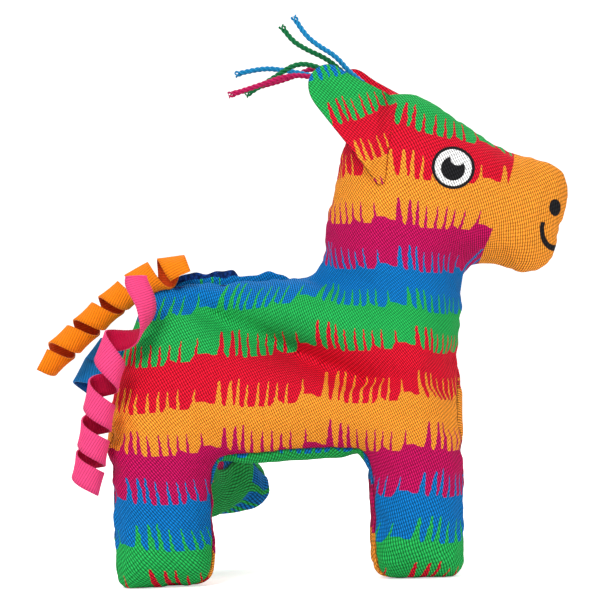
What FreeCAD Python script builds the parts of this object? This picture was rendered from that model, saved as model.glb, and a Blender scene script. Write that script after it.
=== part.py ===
"""Small stuffed toy donkey in the shape of a party pinata, with a treat pocket along its back.

Millimetres, +X towards the nose, +Z up, the feet on z = 0.  The toy faces +X, so its right side is
-Y.  Three feet stand straight down and the left hind leg is kicked out to its side.  The last step
moves everything so that the origin is under the middle of the toy's outer box, cords left out.
"""
import FreeCAD, Part
import math
import os

Vector = FreeCAD.Vector

# ---- driving dimensions -------------------------------------------------------------------------
skin = 0.7                # printed canvas with its seam allowance pressed flat
clearance = 0.4           # between two bodies that bend against each other
hip_room = 1.1            # between a leg and the belly beside it, so that the leg can also swing in

hip_height = 42.0         # floor to the line where a leg bends out
leg_thickness = 19.0      # across one stuffed leg; the flanks are as wide as two legs and the gap
leg_gap = 6.0             # between the left and right legs
hind_leg_width = 27.0     # front to back, at the sole
front_leg_width = 25.5
left_hind_splay = 60.0    # degrees that the left hind leg is kicked out to the side
left_hind_lean = 12.0     # how far forward its foot points
sole_corner = 4.5

body_length = 94.0        # rump to chest
chest_x = 42.5            # front of the chest
belly_drop = 10.0         # hip line down to the lowest point of the belly gusset
gusset_drop = 6.0         # hip line down to the seam between flank panels and gusset
shoulder_rise = 29.0      # hip line up to where the pocket lips begin to stand up
back_rise = 38.5          # hip line up to the top of the right pocket lip

neck_x = 25.2             # nod axis of the head, inside the base of the neck
neck_rise = 35.0          # hip line up to the nod axis
neck_radius = 18.0        # half the neck's depth, front to back
head_reach = 47.5         # nod axis to the tip of the muzzle
head_rise = 52.5          # nod axis to the crown
head_width = 33.0         # across the cheeks
muzzle_width = 22.0

pocket_length = 38.0      # inside the lining
pocket_width = 6.4
pocket_rise = 6.0         # hip line up to the bottom of the pocket
pocket_setback = 42.0     # chest to the front end of the pocket
lining = 0.6

tape_height = 7.6         # hook-and-loop tape
tape_thickness = 1.3
facing = 1.0              # turned-in edge of the flank panel behind the tape
left_lip_rise = 3.0       # the left lip stands higher than the right one
mouth_gap = 5.4           # between the two tapes at rest

ear_thickness = 4.0
ear_tilt = 21.0           # degrees that each ear leans in towards the crown
ear_yaw = 10.0            # degrees that its tip stands out from the head
ear_gap = 1.3             # between the ear's back and the cheek at the lower end of its seam

cord_diameter = 1.4
curl_diameter = 8.0       # outside of a curled ribbon

# ---- places that follow from them ---------------------------------------------------------------
rump_x = chest_x - body_length
belly_height = hip_height - belly_drop
belly_seam = hip_height - gusset_drop
shoulder_height = hip_height + shoulder_rise
back_height = hip_height + back_rise
neck_z = hip_height + neck_rise
leg_radius = leg_thickness / 2
leg_y = leg_gap / 2 + leg_radius
half_width = leg_y + leg_radius
pocket_floor = hip_height + pocket_rise
pocket_front_x = chest_x - pocket_setback
pocket_rear_x = pocket_front_x - pocket_length
lip_outer = mouth_gap / 2 + tape_thickness + facing
lip_axis_y = mouth_gap / 2 + tape_thickness
lip_floor = shoulder_height + 0.8
crown_z = neck_z + head_rise
muzzle_x = neck_x + head_reach


# ---- outlines and blocks ------------------------------------------------------------------------
def outline(points):
    """Closed wire in the XY plane through (a, b, corner radius) points, with round corners."""
    edges = []
    ends = []
    count = len(points)
    for i in range(count):
        before = Vector(*points[i - 1][:2], 0)
        here = Vector(*points[i][:2], 0)
        after = Vector(*points[(i + 1) % count][:2], 0)
        to_before = (before - here).normalize()
        to_after = (after - here).normalize()
        half_turn = (math.pi - to_before.getAngle(to_after)) / 2
        radius = points[i][2]
        cut = radius * math.tan(half_turn)
        if radius == 0:
            ends.append((here, here))
            continue
        start = here + to_before * cut
        end = here + to_after * cut
        middle = here + (to_before + to_after).normalize() * (radius / math.cos(half_turn) - radius)
        edges.append((i, Part.Arc(start, middle, end).toShape()))
        ends.append((start, end))
    arcs = dict(edges)
    wire = []
    for i in range(count):
        if i in arcs:
            wire.append(arcs[i])
        start = ends[i][1]
        end = ends[(i + 1) % count][0]
        if (end - start).Length > 1e-6:
            wire.append(Part.LineSegment(start, end).toShape())
    return Part.Wire(Part.__sortEdges__(wire))


def moved_in(points, inset):
    """The same outline with every side moved inwards, its corners staying parallel to the old ones."""
    count = len(points)
    turns = [(points[i - 1][0] * points[i][1] - points[i][0] * points[i - 1][1]) for i in range(count)]
    way = 1 if sum(turns) > 0 else -1
    moved = []
    for i in range(count):
        a, b, radius = points[i]
        arriving = Vector(a - points[i - 1][0], b - points[i - 1][1], 0).normalize()
        leaving = Vector(points[(i + 1) % count][0] - a, points[(i + 1) % count][1] - b, 0).normalize()
        normal_in = Vector(-arriving.y, arriving.x, 0) * way
        normal_out = Vector(-leaving.y, leaving.x, 0) * way
        shift = (normal_in + normal_out) * (inset / (1 + normal_in.dot(normal_out)))
        convex = arriving.cross(leaving).z * way > 0
        if radius:
            radius = max(radius - inset, 0.2) if convex else radius + inset
        moved.append((a + shift.x, b + shift.y, radius))
    return moved


def prism(points, view, start, end, inset=0.0):
    """Block with this outline, seen from the side, the front or above, from start to end."""
    face = Part.Face(outline(moved_in(points, inset)))
    block = face.extrude(Vector(0, 0, end - start - 2 * inset))
    block.translate(Vector(0, 0, start + inset))
    if view == "side":
        block.rotate(Vector(), Vector(1, 0, 0), 90)
        block = block.mirror(Vector(), Vector(0, 1, 0))
    elif view == "front":
        block.rotate(Vector(), Vector(1, 1, 1), 120)
    return block


def mirrored(points):
    """Outline points of a shape that is the same on both sides of a = 0, from its right half."""
    return points + [(-a, b, r) for a, b, r in reversed(points)]


def mirrored_in_b(points):
    """Outline points of a shape that is the same on both sides of b = 0, from its upper half."""
    return points + [(a, -b, r) for a, b, r in reversed(points)]


def box(x0, x1, y0, y1, z0, z1):
    return Part.makeBox(x1 - x0, y1 - y0, z1 - z0, Vector(x0, y0, z0))


def cylinder_y(x, z, radius, width):
    return Part.makeCylinder(radius, width, Vector(x, -width / 2, z), Vector(0, 1, 0))


def cylinder_x(y, z, radius, x0, x1):
    return Part.makeCylinder(radius, x1 - x0, Vector(x0, y, z), Vector(1, 0, 0))


def one_side(shape, sign):
    """Half of a shape on the left (+1) or right (-1) of the toy's middle."""
    big = 400.0
    half = box(-big, big, 0, big, -big, big) if sign > 0 else box(-big, big, -big, 0, -big, big)
    return shape.common(half)


# ---- head ---------------------------------------------------------------------------------------
def head_block(inset=0.0):
    side = [
        (neck_x - neck_radius, neck_z, 0),
        (neck_x - 17.6, neck_z + 8, 6),
        (neck_x - 11.5, crown_z - 15, 12),
        (neck_x + 1.0, crown_z + 2.0, 6),
        (neck_x + 13, crown_z - 2.0, 10),
        (muzzle_x - 15, crown_z - 16.5, 12),
        (muzzle_x, crown_z - 20.5, 5),
        (muzzle_x + 0.2, crown_z - 32, 10),
        (muzzle_x - 4.2, neck_z + 4.6, 6),
        (muzzle_x - 19, neck_z + 7.4, 8),
        (neck_x + neck_radius, neck_z + 6, 5),
        (neck_x + neck_radius, neck_z, 0),
        (neck_x + neck_radius * 0.7, neck_z - 1, 0),
        (neck_x - neck_radius * 0.7, neck_z - 1, 0),
    ]
    front = mirrored([
        (6.0, crown_z + 1.0, 5),
        (head_width / 2 - 2.5, crown_z - 15, 16),
        (head_width / 2, neck_z + 20, 20),
        (head_width / 2, neck_z + 7, 14),
        (half_width - 2.5, neck_z - 3, 0),
        (half_width - 1.5, neck_z - neck_radius - 5, 0),
    ][::-1])
    plan = mirrored_in_b([
        (neck_x - neck_radius - 0.4, 4.5, 4),
        (neck_x - neck_radius + 4.5, half_width - 5, 10),
        (neck_x - 4, half_width - 2, 20),
        (neck_x + neck_radius - 3, half_width - 3, 12),
        (muzzle_x - 12, muzzle_width / 2 + 2, 12),
        (muzzle_x - 1.5, muzzle_width / 2 - 2, 7),
        (muzzle_x + 0.3, 3.5, 3),
    ])
    block = prism(side, "side", -60, 60, inset)
    neck = cylinder_y(neck_x, neck_z, neck_radius, 120)
    block = block.fuse(neck).removeSplitter()
    block = block.common(prism(front, "front", -200, 200, inset))
    return block.common(prism(plan, "plan", 0, 200, inset))


def head():
    whole = head_block()
    filling = head_block(skin)
    shell = whole.cut(filling)
    return {
        "right_head_panel": one_side(shell, -1),
        "left_head_panel": one_side(shell, +1),
        "head_stuffing": filling,
    }


# ---- torso --------------------------------------------------------------------------------------
def torso_block(inset=0.0):
    """Barrel of the body, the ridge along its back and the chest under the neck."""
    side = [
        (rump_x, belly_height + 3, 6),
        (rump_x + 0.6, hip_height + 3, 20),
        (rump_x + 4.5, shoulder_height - 5, 20),
        (rump_x + 12, back_height, 4),
        (neck_x - neck_radius - 2, back_height, 1),
        (neck_x - neck_radius - 2, shoulder_height, 0),
        (chest_x + 0.8, shoulder_height, 0),
        (chest_x - 1.5, shoulder_height - 13, 20),
        (chest_x, belly_height + 8, 12),
        (chest_x - 1, belly_height, 5),
    ]
    ridge = mirrored([
        (1.5, back_height + 0.5, 1),
        (lip_outer + 2.0, shoulder_height + 0.6, 5),
        (half_width - 5, shoulder_height - 5, 8),
        (half_width, shoulder_height - 14, 14),
        (half_width, hip_height - 1, 3),
        (half_width - 2, belly_seam, 4),
        (7, belly_height, 12),
    ][::-1])
    chest = mirrored([
        (half_width - 4, shoulder_height + 8, 0),
        (half_width, shoulder_height - 14, 20),
        (half_width, hip_height - 1, 3),
        (half_width - 2, belly_seam, 4),
        (7, belly_height, 12),
    ][::-1])
    plan = mirrored_in_b([
        (rump_x - 0.2, 5, 4),
        (rump_x + 5, half_width - 5, 8),
        (rump_x + 14, half_width, 14),
        (chest_x - 16, half_width, 18),
        (chest_x - 4, half_width - 5, 8),
        (chest_x + 0.3, 5, 4),
    ][::-1])
    sides = prism(side, "side", -60, 60, inset)
    barrel = sides.common(prism(ridge, "front", -200, 200, inset))
    front = sides.common(prism(chest, "front", neck_x - neck_radius - 4, 200, inset))
    return barrel.fuse(front).common(prism(plan, "plan", 0, 200, inset))


def leg_side(name):
    """Side view of one leg hanging straight down: (x, z, corner radius), and its reach at the hip."""
    if name == "right_hind":
        sole = (rump_x, rump_x + hind_leg_width)
        hip = (rump_x + 0.6, rump_x + hind_leg_width)
    elif name == "left_hind":
        sole = (rump_x + 2.5 + left_hind_lean, rump_x + 2.5 + hind_leg_width + left_hind_lean)
        hip = (rump_x + 4, rump_x + hind_leg_width + 7)
    else:
        sole = (chest_x - front_leg_width, chest_x)
        hip = (chest_x - front_leg_width, chest_x - 0.4)
    top = hip_height + leg_radius + 1
    points = [
        (sole[0], 0, sole_corner),
        (sole[1], 0, sole_corner),
        (hip[1], hip_height - leg_radius, 8 if name == "left_hind" else 0),
        (hip[1], top, 0),
        (hip[0], top, 0),
        (hip[0], hip_height - leg_radius, 8 if name == "left_hind" else 0),
    ]
    return points, hip


def leg_block(name, inset=0.0):
    """One stuffed leg hanging straight down; its top is a roll that the hip bends around."""
    side = 1 if name.startswith("left") else -1
    points, _ = leg_side(name)
    middle = leg_y * side
    roll_corner = leg_radius - 0.01
    front = [
        (middle - leg_radius + 0.6, 0, sole_corner),
        (middle + leg_radius - 0.6, 0, sole_corner),
        (middle + leg_radius, hip_height, 0),
        (middle + leg_radius, hip_height + leg_radius, roll_corner),
        (middle - leg_radius, hip_height + leg_radius, roll_corner),
        (middle - leg_radius, hip_height, 0),
    ]
    xs = [point[0] for point in points]
    plan = [
        (min(xs), middle - leg_radius, 7),
        (max(xs), middle - leg_radius, 7),
        (max(xs), middle + leg_radius, 7),
        (min(xs), middle + leg_radius, 7),
    ]
    leg = prism(front, "front", -200, 200, inset).common(prism(points, "side", -60, 60, inset))
    return leg.common(prism(plan, "plan", -1, 200, inset))


def hip_socket(name):
    """What the torso leaves free for a leg that bends out sideways as far as the hind leg does."""
    side = 1 if name.startswith("left") else -1
    _, hip = leg_side(name)
    x0, x1 = hip[0] - clearance, hip[1] + clearance
    if name == "right_hind":
        x0 -= 20
    elif name != "left_hind":
        x1 += 20
    radius = leg_radius + clearance
    roll = cylinder_x(leg_y * side, hip_height, radius, x0, x1)
    inner_wall = leg_gap / 2 - hip_room
    y = sorted((inner_wall * side, (half_width + 10) * side))
    below = box(x0, x1, y[0], y[1], 0, hip_height)
    swing = box(x0, x1, 0, 30, -radius, radius)
    swing.rotate(Vector(), Vector(1, 0, 0), left_hind_splay - 90)
    swing = swing.common(box(x0, x1, 0, 30, -30, 30))
    if side < 0:
        swing = swing.mirror(Vector(), Vector(0, 1, 0))
    swing.translate(Vector(0, leg_y * side, hip_height))
    return roll.fuse(below).fuse(swing)


def kicked_out(shape, name):
    """The left hind leg is swung out about its hip; the others hang straight down."""
    if name == "left_hind":
        shape.rotate(Vector(0, leg_y, hip_height), Vector(1, 0, 0), left_hind_splay)
    return shape


def leg(name):
    side = 1 if name.startswith("left") else -1
    whole = leg_block(name)
    big = 200.0
    below_hip = box(-big, big, -big, big, -big, hip_height)
    shell = whole.cut(leg_block(name, skin)).common(below_hip)
    filling = whole.cut(shell)
    inner = box(-big, big, -big, leg_y * side, -big, big)
    outer = box(-big, big, leg_y * side, big, -big, big)
    if side < 0:
        inner, outer = outer, inner
    return {
        name + "_leg_outer_panel": kicked_out(shell.common(outer), name),
        name + "_leg_inner_panel": kicked_out(shell.common(inner), name),
        name + "_leg_stuffing": kicked_out(filling, name),
    }


LEGS = ("right_hind", "left_hind", "right_front", "left_front")


def torso():
    mouth = box(pocket_rear_x - 1.5, pocket_front_x + 1.5, -60, 60, shoulder_height, 200)
    neck = cylinder_y(neck_x, neck_z, neck_radius + clearance, 200)
    above_neck = box(neck_x - neck_radius + 8, 200, -60, 60, shoulder_height + 0.5, 200)
    free = mouth.fuse(neck).fuse(above_neck)
    for name in LEGS:
        free = free.fuse(hip_socket(name))
    wall = pocket_width / 2 + lining
    pocket = box(pocket_rear_x - lining, pocket_front_x + lining, -wall, wall,
                 pocket_floor - lining, 200)
    inside = box(pocket_rear_x, pocket_front_x, -pocket_width / 2, pocket_width / 2,
                 pocket_floor, 200)
    bag = pocket.cut(inside).common(box(-200, 200, -60, 60, 0, shoulder_height))
    whole = torso_block().cut(free).cut(pocket)
    filling = torso_block(skin).cut(free).cut(pocket)
    shell = whole.cut(filling)
    lower = box(-200, 200, -60, 60, -10, belly_seam)
    upper = shell.cut(lower)
    return {
        "right_flank_panel": one_side(upper, -1),
        "left_flank_panel": one_side(upper, +1),
        "belly_gusset": shell.common(lower),
        "pocket_lining": bag,
        "torso_stuffing": filling,
    }


# ---- pocket lips --------------------------------------------------------------------------------
def lip(name, side, rise):
    """One edge of the pocket mouth: the turned-in canvas and the strip of tape sewn inside it."""
    x0, x1 = pocket_rear_x - 1.0, pocket_front_x + 1.0
    top = back_height + rise
    near, joint, outer = mouth_gap / 2, mouth_gap / 2 + tape_thickness, lip_outer
    edge = [
        (joint, lip_floor, 0),
        (outer, lip_floor, 0),
        (outer, top, facing / 2 - 0.01),
        (joint, top, facing / 2 - 0.01),
    ]
    cloth = prism(edge, "front", x0, x1)
    tape = box(x0 + 1, x1 - 1, near, joint, top - 0.8 - tape_height, top - 0.8)
    if side < 0:
        cloth = cloth.mirror(Vector(), Vector(0, 1, 0))
        tape = tape.mirror(Vector(), Vector(0, 1, 0))
    strip = "loop_tape" if side > 0 else "hook_tape"
    return {name + "_lip_facing": cloth, name + "_lip_" + strip: tape}


# ---- ears ---------------------------------------------------------------------------------------
def ear(name, side):
    """A flat padded leaf of two panels, sewn along its front edge to the side of the crown."""
    root_low = (neck_x - 2.7, crown_z - 23)
    root_high = (neck_x + 2.0, crown_z - 1.5)
    leaf = [
        (root_low[0], root_low[1], 1.5),
        (root_high[0], root_high[1], 1.5),
        (neck_x - 11, crown_z + 8.2, 12),
        (neck_x - 17, crown_z + 9.5, 4),
        (neck_x - 22, crown_z + 2.5, 6),
        (neck_x - 9, crown_z - 14.5, 20),
    ]
    half = ear_thickness / 2
    panels = {}
    for label, y0, y1 in (("back", 0, half), ("front", half, ear_thickness)):
        panels[name + "_ear_" + label + "_panel"] = on_the_cheek(prism(leaf, "side", y0, y1), side)
    return panels


def on_the_cheek(shape, side):
    """Lean an upright ear in at the top, turn its tip out and set it against one side of the head."""
    low_x, low_z = neck_x - 2.7, crown_z - 23
    shape.rotate(Vector(0, 0, low_z), Vector(1, 0, 0), ear_tilt)
    shape.rotate(Vector(low_x, 0, low_z), Vector(0, 0, 1), -ear_yaw)
    shape.translate(Vector(0, head_width / 2 + ear_gap, 0))
    return shape if side > 0 else shape.mirror(Vector(), Vector(0, 1, 0))


# ---- crown cords, measured from where they are sewn in on the crown -----------------------------
CROWN_CORDS = {
    "blue_upper": [(-0.2, -0.9, -2.0), (-4.6, -1.3, 3.5), (-9.7, -1.6, 7.7), (-13.0, -1.4, 12.1),
                   (-18.0, -0.9, 15.3), (-21.7, -0.6, 18.7), (-24.2, 0.0, 23.5)],
    "green_upper": [(-1.8, 0.9, -2.0), (-6.2, 1.2, 3.1), (-11.0, 1.4, 7.5), (-15.4, 1.6, 11.7),
                    (-21.2, 2.0, 14.5), (-25.4, 2.4, 17.5), (-27.6, 3.0, 21.3)],
    "green_lower": [(-1.8, -2.7, -2.0), (-7.0, -2.9, 2.5), (-12.6, -3.2, 6.1), (-18.0, -3.6, 9.3),
                    (-23.8, -3.8, 10.5), (-30.0, -3.4, 6.7), (-38.0, -3.0, 2.2)],
    "blue_lower": [(-0.2, 2.7, -2.0), (-6.4, 2.9, 2.1), (-13.0, 3.0, 5.1), (-19.6, 3.4, 7.3),
                   (-26.8, 4.0, 9.1), (-33.8, 4.6, 10.1), (-40.8, 5.4, 8.5)],
    "crimson_upper": [(-2.8, 4.4, -3.0), (-7.4, 4.6, 3.5), (-12.6, 5.0, 8.3), (-19.0, 5.4, 9.9),
                      (-25.4, 5.8, 7.1), (-33.6, 6.2, 5.1), (-41.8, 6.6, 3.3)],
    "crimson_lower": [(-2.8, -4.5, -3.0), (-8.0, -4.7, 1.3), (-13.8, -5.0, 4.1), (-19.6, -5.4, 6.5),
                      (-26.2, -5.8, 7.1), (-33.6, -6.2, 4.7), (-42.6, -6.6, 2.1)],
}


def tube(name, points, diameter):
    """Round tube along straight runs joined by tangent arcs."""
    points = [Vector(*point) for point in points]
    edges = []
    start = points[0]
    radii = []
    for before, here, after in zip(points, points[1:], points[2:]):
        to_before = (before - here).normalize()
        to_after = (after - here).normalize()
        half_turn = (math.pi - to_before.getAngle(to_after)) / 2
        cut = 0.45 * min((here - before).Length, (after - here).Length)
        radius = cut / math.tan(half_turn)
        radii.append(radius)
        arc_start = here + to_before * cut
        arc_end = here + to_after * cut
        bisector = (to_before + to_after).normalize()
        middle = here + bisector * (radius / math.cos(half_turn) - radius)
        edges.append(Part.LineSegment(start, arc_start).toShape())
        edges.append(Part.Arc(arc_start, middle, arc_end).toShape())
        start = arc_end
    edges.append(Part.LineSegment(start, points[-1]).toShape())
    path = Part.Wire(edges)
    circle = Part.makeCircle(diameter / 2, points[0], points[1] - points[0])
    solid = path.makePipeShell([Part.Wire([circle])], True, True)
    expected = math.pi * diameter ** 2 / 4 * path.Length
    print(name, "length", round(path.Length, 1), "smallest radius", round(min(radii), 1),
          "volume ratio", round(solid.Volume / expected, 4))
    return solid


# ---- tail ribbons -------------------------------------------------------------------------------
tail_x = rump_x + 8       # where the ribbons are sewn into the rump seam
tail_z = back_height + 2
beside = -half_width      # the pink ribbon hangs past the outside of the right flank

TAIL_RIBBONS = {
    "orange": [(tail_x, 2.4, tail_z + 0.9), (tail_x - 7.4, 2.8, tail_z - 5.3),
               (tail_x - 15.2, 2.8, tail_z - 11.1), (tail_x - 26.2, 2.6, tail_z - 20.5)],
    "pink": [(tail_x - 0.8, beside + 14.4, tail_z - 0.3), (tail_x - 0.2, beside + 7.0, tail_z - 5.1),
             (tail_x - 2.8, beside + 1.6, tail_z - 12.7), (tail_x - 7.2, beside - 0.6, tail_z - 20.9),
             (tail_x - 10.2, beside - 0.2, tail_z - 31.3), (tail_x - 12.2, beside + 1.8, tail_z - 42.9),
             (tail_x - 14.9, beside + 3.4, tail_z - 55.1)],
    "blue": [(tail_x - 6.0, 11.0, tail_z - 8.9), (tail_x - 12.2, 11.4, tail_z - 16.7),
             (tail_x - 16.6, 11.4, tail_z - 25.9)],
}


def toy():
    """Every piece by its node name, in the toy's own axes with the middle of its width on y = 0."""
    pieces = {}
    pieces.update(torso())
    pieces.update(lip("right", -1, 0.0))
    pieces.update(lip("left", +1, left_lip_rise))
    pieces.update(head())
    for name in LEGS:
        pieces.update(leg(name))
    pieces.update(ear("right", -1))
    pieces.update(ear("left", +1))
    for name, route in CROWN_CORDS.items():
        sewn = [(neck_x + x, y, crown_z + z) for x, y, z in route]
        pieces["crown_cord_" + name] = tube(name, sewn, cord_diameter)
    for name, route in TAIL_RIBBONS.items():
        pieces["tail_ribbon_" + name] = tube(name, route, curl_diameter)
    return pieces


def under_the_middle(pieces):
    """Move that brings the middle of the toy's box, cords left out, over the origin."""
    bodies = [shape for name, shape in pieces.items() if not name.startswith("crown_cord")]
    bounds = Part.makeCompound(bodies).optimalBoundingBox()
    return Vector(-(bounds.XMin + bounds.XMax) / 2, -(bounds.YMin + bounds.YMax) / 2, -bounds.ZMin)


if __name__ == "__main__":
    os.makedirs("parts", exist_ok=True)
    pieces = toy()
    move = under_the_middle(pieces)
    print("moved by", move)
    for name, shape in pieces.items():
        shape = shape.Solids[0] if len(shape.Solids) == 1 else shape
        shape.translate(move)
        print(name, shape.ShapeType, len(shape.Solids), round(shape.Volume, 1), shape.isValid())
        shape.exportStep("parts/" + name + ".step")
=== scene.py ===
"""Stuffed canvas donkey printed like a fringed pinata, with cord forelock and curled ribbon tail.

Shapes are worked out in millimetres in the toy's own axes (+X nose, -Y right side, +Z up, y = 0 on
its middle plane) and moved into the frame, in metres, when a piece is finished.
"""
import math
from contextlib import contextmanager

import bmesh
import bpy
import numpy as np
from mathutils import Matrix, Vector, kdtree, noise


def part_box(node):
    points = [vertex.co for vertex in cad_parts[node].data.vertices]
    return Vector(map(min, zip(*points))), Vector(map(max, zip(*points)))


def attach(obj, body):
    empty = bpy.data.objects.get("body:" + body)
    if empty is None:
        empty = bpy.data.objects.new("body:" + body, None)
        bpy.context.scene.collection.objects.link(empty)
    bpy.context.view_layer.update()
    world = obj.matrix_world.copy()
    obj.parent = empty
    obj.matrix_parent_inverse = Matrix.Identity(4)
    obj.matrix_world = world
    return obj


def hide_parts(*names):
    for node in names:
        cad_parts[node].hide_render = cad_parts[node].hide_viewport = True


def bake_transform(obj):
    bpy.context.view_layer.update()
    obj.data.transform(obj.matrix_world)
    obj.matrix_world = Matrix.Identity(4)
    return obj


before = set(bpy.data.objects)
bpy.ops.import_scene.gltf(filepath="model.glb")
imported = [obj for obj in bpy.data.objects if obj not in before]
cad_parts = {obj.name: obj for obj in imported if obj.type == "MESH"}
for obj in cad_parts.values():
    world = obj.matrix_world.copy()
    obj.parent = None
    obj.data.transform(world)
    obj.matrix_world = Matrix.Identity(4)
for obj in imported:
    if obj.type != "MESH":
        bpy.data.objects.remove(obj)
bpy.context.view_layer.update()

# ---- the toy's axes in the frame ----------------------------------------------------------------
MM = 0.001
CHEST_X = 42.5                     # front of the right front sole, in the toy's axes
torso_low, torso_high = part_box("torso_stuffing")
shift_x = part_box("right_front_leg_outer_panel")[1].x / MM - CHEST_X
shift_y = (torso_low.y + torso_high.y) / 2 / MM
TO_FRAME = Matrix.Scale(MM, 4) @ Matrix.Translation((shift_x, shift_y, 0))

# ---- driving sizes ------------------------------------------------------------------------------
HALF_WIDTH = 22.0                  # of the flanks at their fullest
LEG_Y = 12.5                       # middle of a leg
LEG_HALF = 9.5                     # half a leg's thickness
HIP_Z = 42.0
SEAM_Y = 18.5                      # where the belly gusset is sewn to the flank panels
SKIN_VOXEL = 1.6                   # size of the cloth mesh's faces before its last subdivision
MOUTH_X = (-37.5, 0.6)             # ends of the pocket mouth
MOUTH_HALF = 2.9                   # half the width of the slit
LIP_Z = 72.0                       # where the pocket lips begin to stand up
SEWN_ABOVE = 38.5                  # the body's outline is sewn panel to panel above this height
VIEW_Z = 75.6                      # height of the camera's line of sight
NEAR_SIDE = 1.018                  # the print lies on the flank, nearer the eye than the middle plane
SWELL_PRESSURE = 0.25              # of the stuffing against the cloth
SWELL_FRAMES = 20
MOST_SWELL = 1.5                   # that stuffing may push the cloth out
FLOOR_GAP = 0.15                   # between the soles and the floor
PANELS = ("right", "left", "gusset")
SIDES = ((-1, "right"), (1, "left"))
LEGS = [(end, side, word) for end in ("hind", "front") for side, word in SIDES]
LINE_STEPS = 5                     # between two given points of an outline
RIBBON_WIDTH = 6.35
RIB = 0.75                         # pitch of the ribs across a grosgrain ribbon
CORD_DIAMETER = 1.4

# side view of the body and head, without the legs
BODY_LINE = [
    (6.6, 83.0), (7.6, 88.0), (8.8, 95.8), (11.4, 106.5), (14.5, 117.2), (19.5, 125.0), (25.5, 129.0),
    (30.6, 129.6), (37.5, 127.2), (47.0, 120.4), (54.1, 115.6), (60.7, 112.4), (66.5, 110.7),
    (70.6, 108.6), (72.7, 104.8), (72.5, 98.1), (70.6, 92.6), (68.6, 85.8), (64.8, 82.4), (60.2, 81.8),
    (54.6, 83.7), (49.5, 84.6), (45.0, 83.4), (43.5, 80.0), (43.2, 73.0), (42.3, 66.5), (41.2, 59.0),
    (41.0, 50.0), (40.4, 40.0), (39.0, 36.0), (0.0, 36.2), (-49.0, 35.0), (-50.6, 40.0), (-50.0, 50.0),
    (-48.6, 58.5), (-45.6, 67.0), (-42.4, 74.5), (-39.6, 79.6), (-36.0, 80.9), (-18.0, 81.2),
    (-1.0, 81.0), (4.2, 81.4),
]
HIND_LEG_LINE = [
    (-44.0, 50.0), (-50.6, 40.0), (-51.8, 32.0), (-52.0, 22.0), (-52.0, 6.0), (-51.2, 1.6),
    (-48.5, 0.0), (-38.9, 0.0), (-29.6, 0.6), (-26.4, 2.8), (-25.2, 7.0), (-25.0, 18.0),
    (-24.8, 28.0), (-23.2, 34.2), (-20.2, 37.6),
    (-17.0, 39.5), (-17.0, 50.0),
]
FRONT_LEG_LINE = [
    (35.0, 50.0), (40.8, 40.0), (42.0, 32.0), (42.0, 22.0), (41.6, 6.0), (40.6, 1.6), (37.8, 0.0),
    (29.0, 0.0), (20.2, 0.6), (17.8, 2.8), (17.0, 7.4), (17.0, 18.0), (16.6, 28.0), (15.2, 34.0),
    (12.2, 37.4),
    (9.0, 39.5), (9.0, 50.0),
]

# leading edges of the printed rows, each height at four places along the toy
ROW_X = (-48.0, 2.0, 30.0, 60.0)
PRINT_ROWS = [
    (134.0, 133.0, 124.0, 115.0),
    (114.0, 112.5, 110.3, 106.2),
    (101.0, 100.2, 97.3, 93.5),
    (88.0, 87.6, 84.7, 81.5),
    (73.4, 76.8, 74.0, 69.5),
    (61.2, 64.2, 63.4, 60.5),
    (48.6, 50.7, 50.6, 50.0),
    (38.0, 37.3, 36.3, 36.0),
    (24.8, 24.4, 24.0, 24.0),
    (12.3, 12.1, 12.0, 12.0),
    (0.4, -0.2, -0.4, -0.4),
]
ROW_HEIGHT = 12.5
MOTIF = 28.2                       # length of one repeat of the fringe
MOTIF_START = 2.2


def smoothstep(value, low, high):
    t = np.clip((np.asarray(value, float) - low) / (high - low), 0, 1)
    return t * t * (3 - 2 * t)


# ---- studio -------------------------------------------------------------------------------------
def make_camera():
    distance, width = 870.0, 163.2
    roll = math.radians(2.06)
    data = bpy.data.cameras.new("camera")
    data.sensor_width = 36.0
    data.lens = data.sensor_width * distance / width
    data.clip_start, data.clip_end = 0.05, 20.0
    camera = bpy.data.objects.new("camera", data)
    bpy.context.scene.collection.objects.link(camera)
    right = Vector((math.cos(roll), 0, -math.sin(roll)))
    up = Vector((math.sin(roll), 0, math.cos(roll)))
    back = Vector((0, -1, 0))
    axes = Matrix((right, up, back)).transposed()
    place = TO_FRAME @ Vector((0.0, -2.0 - distance, VIEW_Z))
    camera.matrix_world = Matrix.Translation(place) @ axes.to_4x4()
    bpy.context.scene.camera = camera


def area_light(name, place, target, size, power):
    data = bpy.data.lights.new(name, "AREA")
    data.energy = power
    data.shape = "DISK"
    data.size = size
    light = bpy.data.objects.new(name, data)
    bpy.context.scene.collection.objects.link(light)
    light.location = place
    light.rotation_euler = (Vector(target) - Vector(place)).to_track_quat("-Z", "Y").to_euler()


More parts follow.
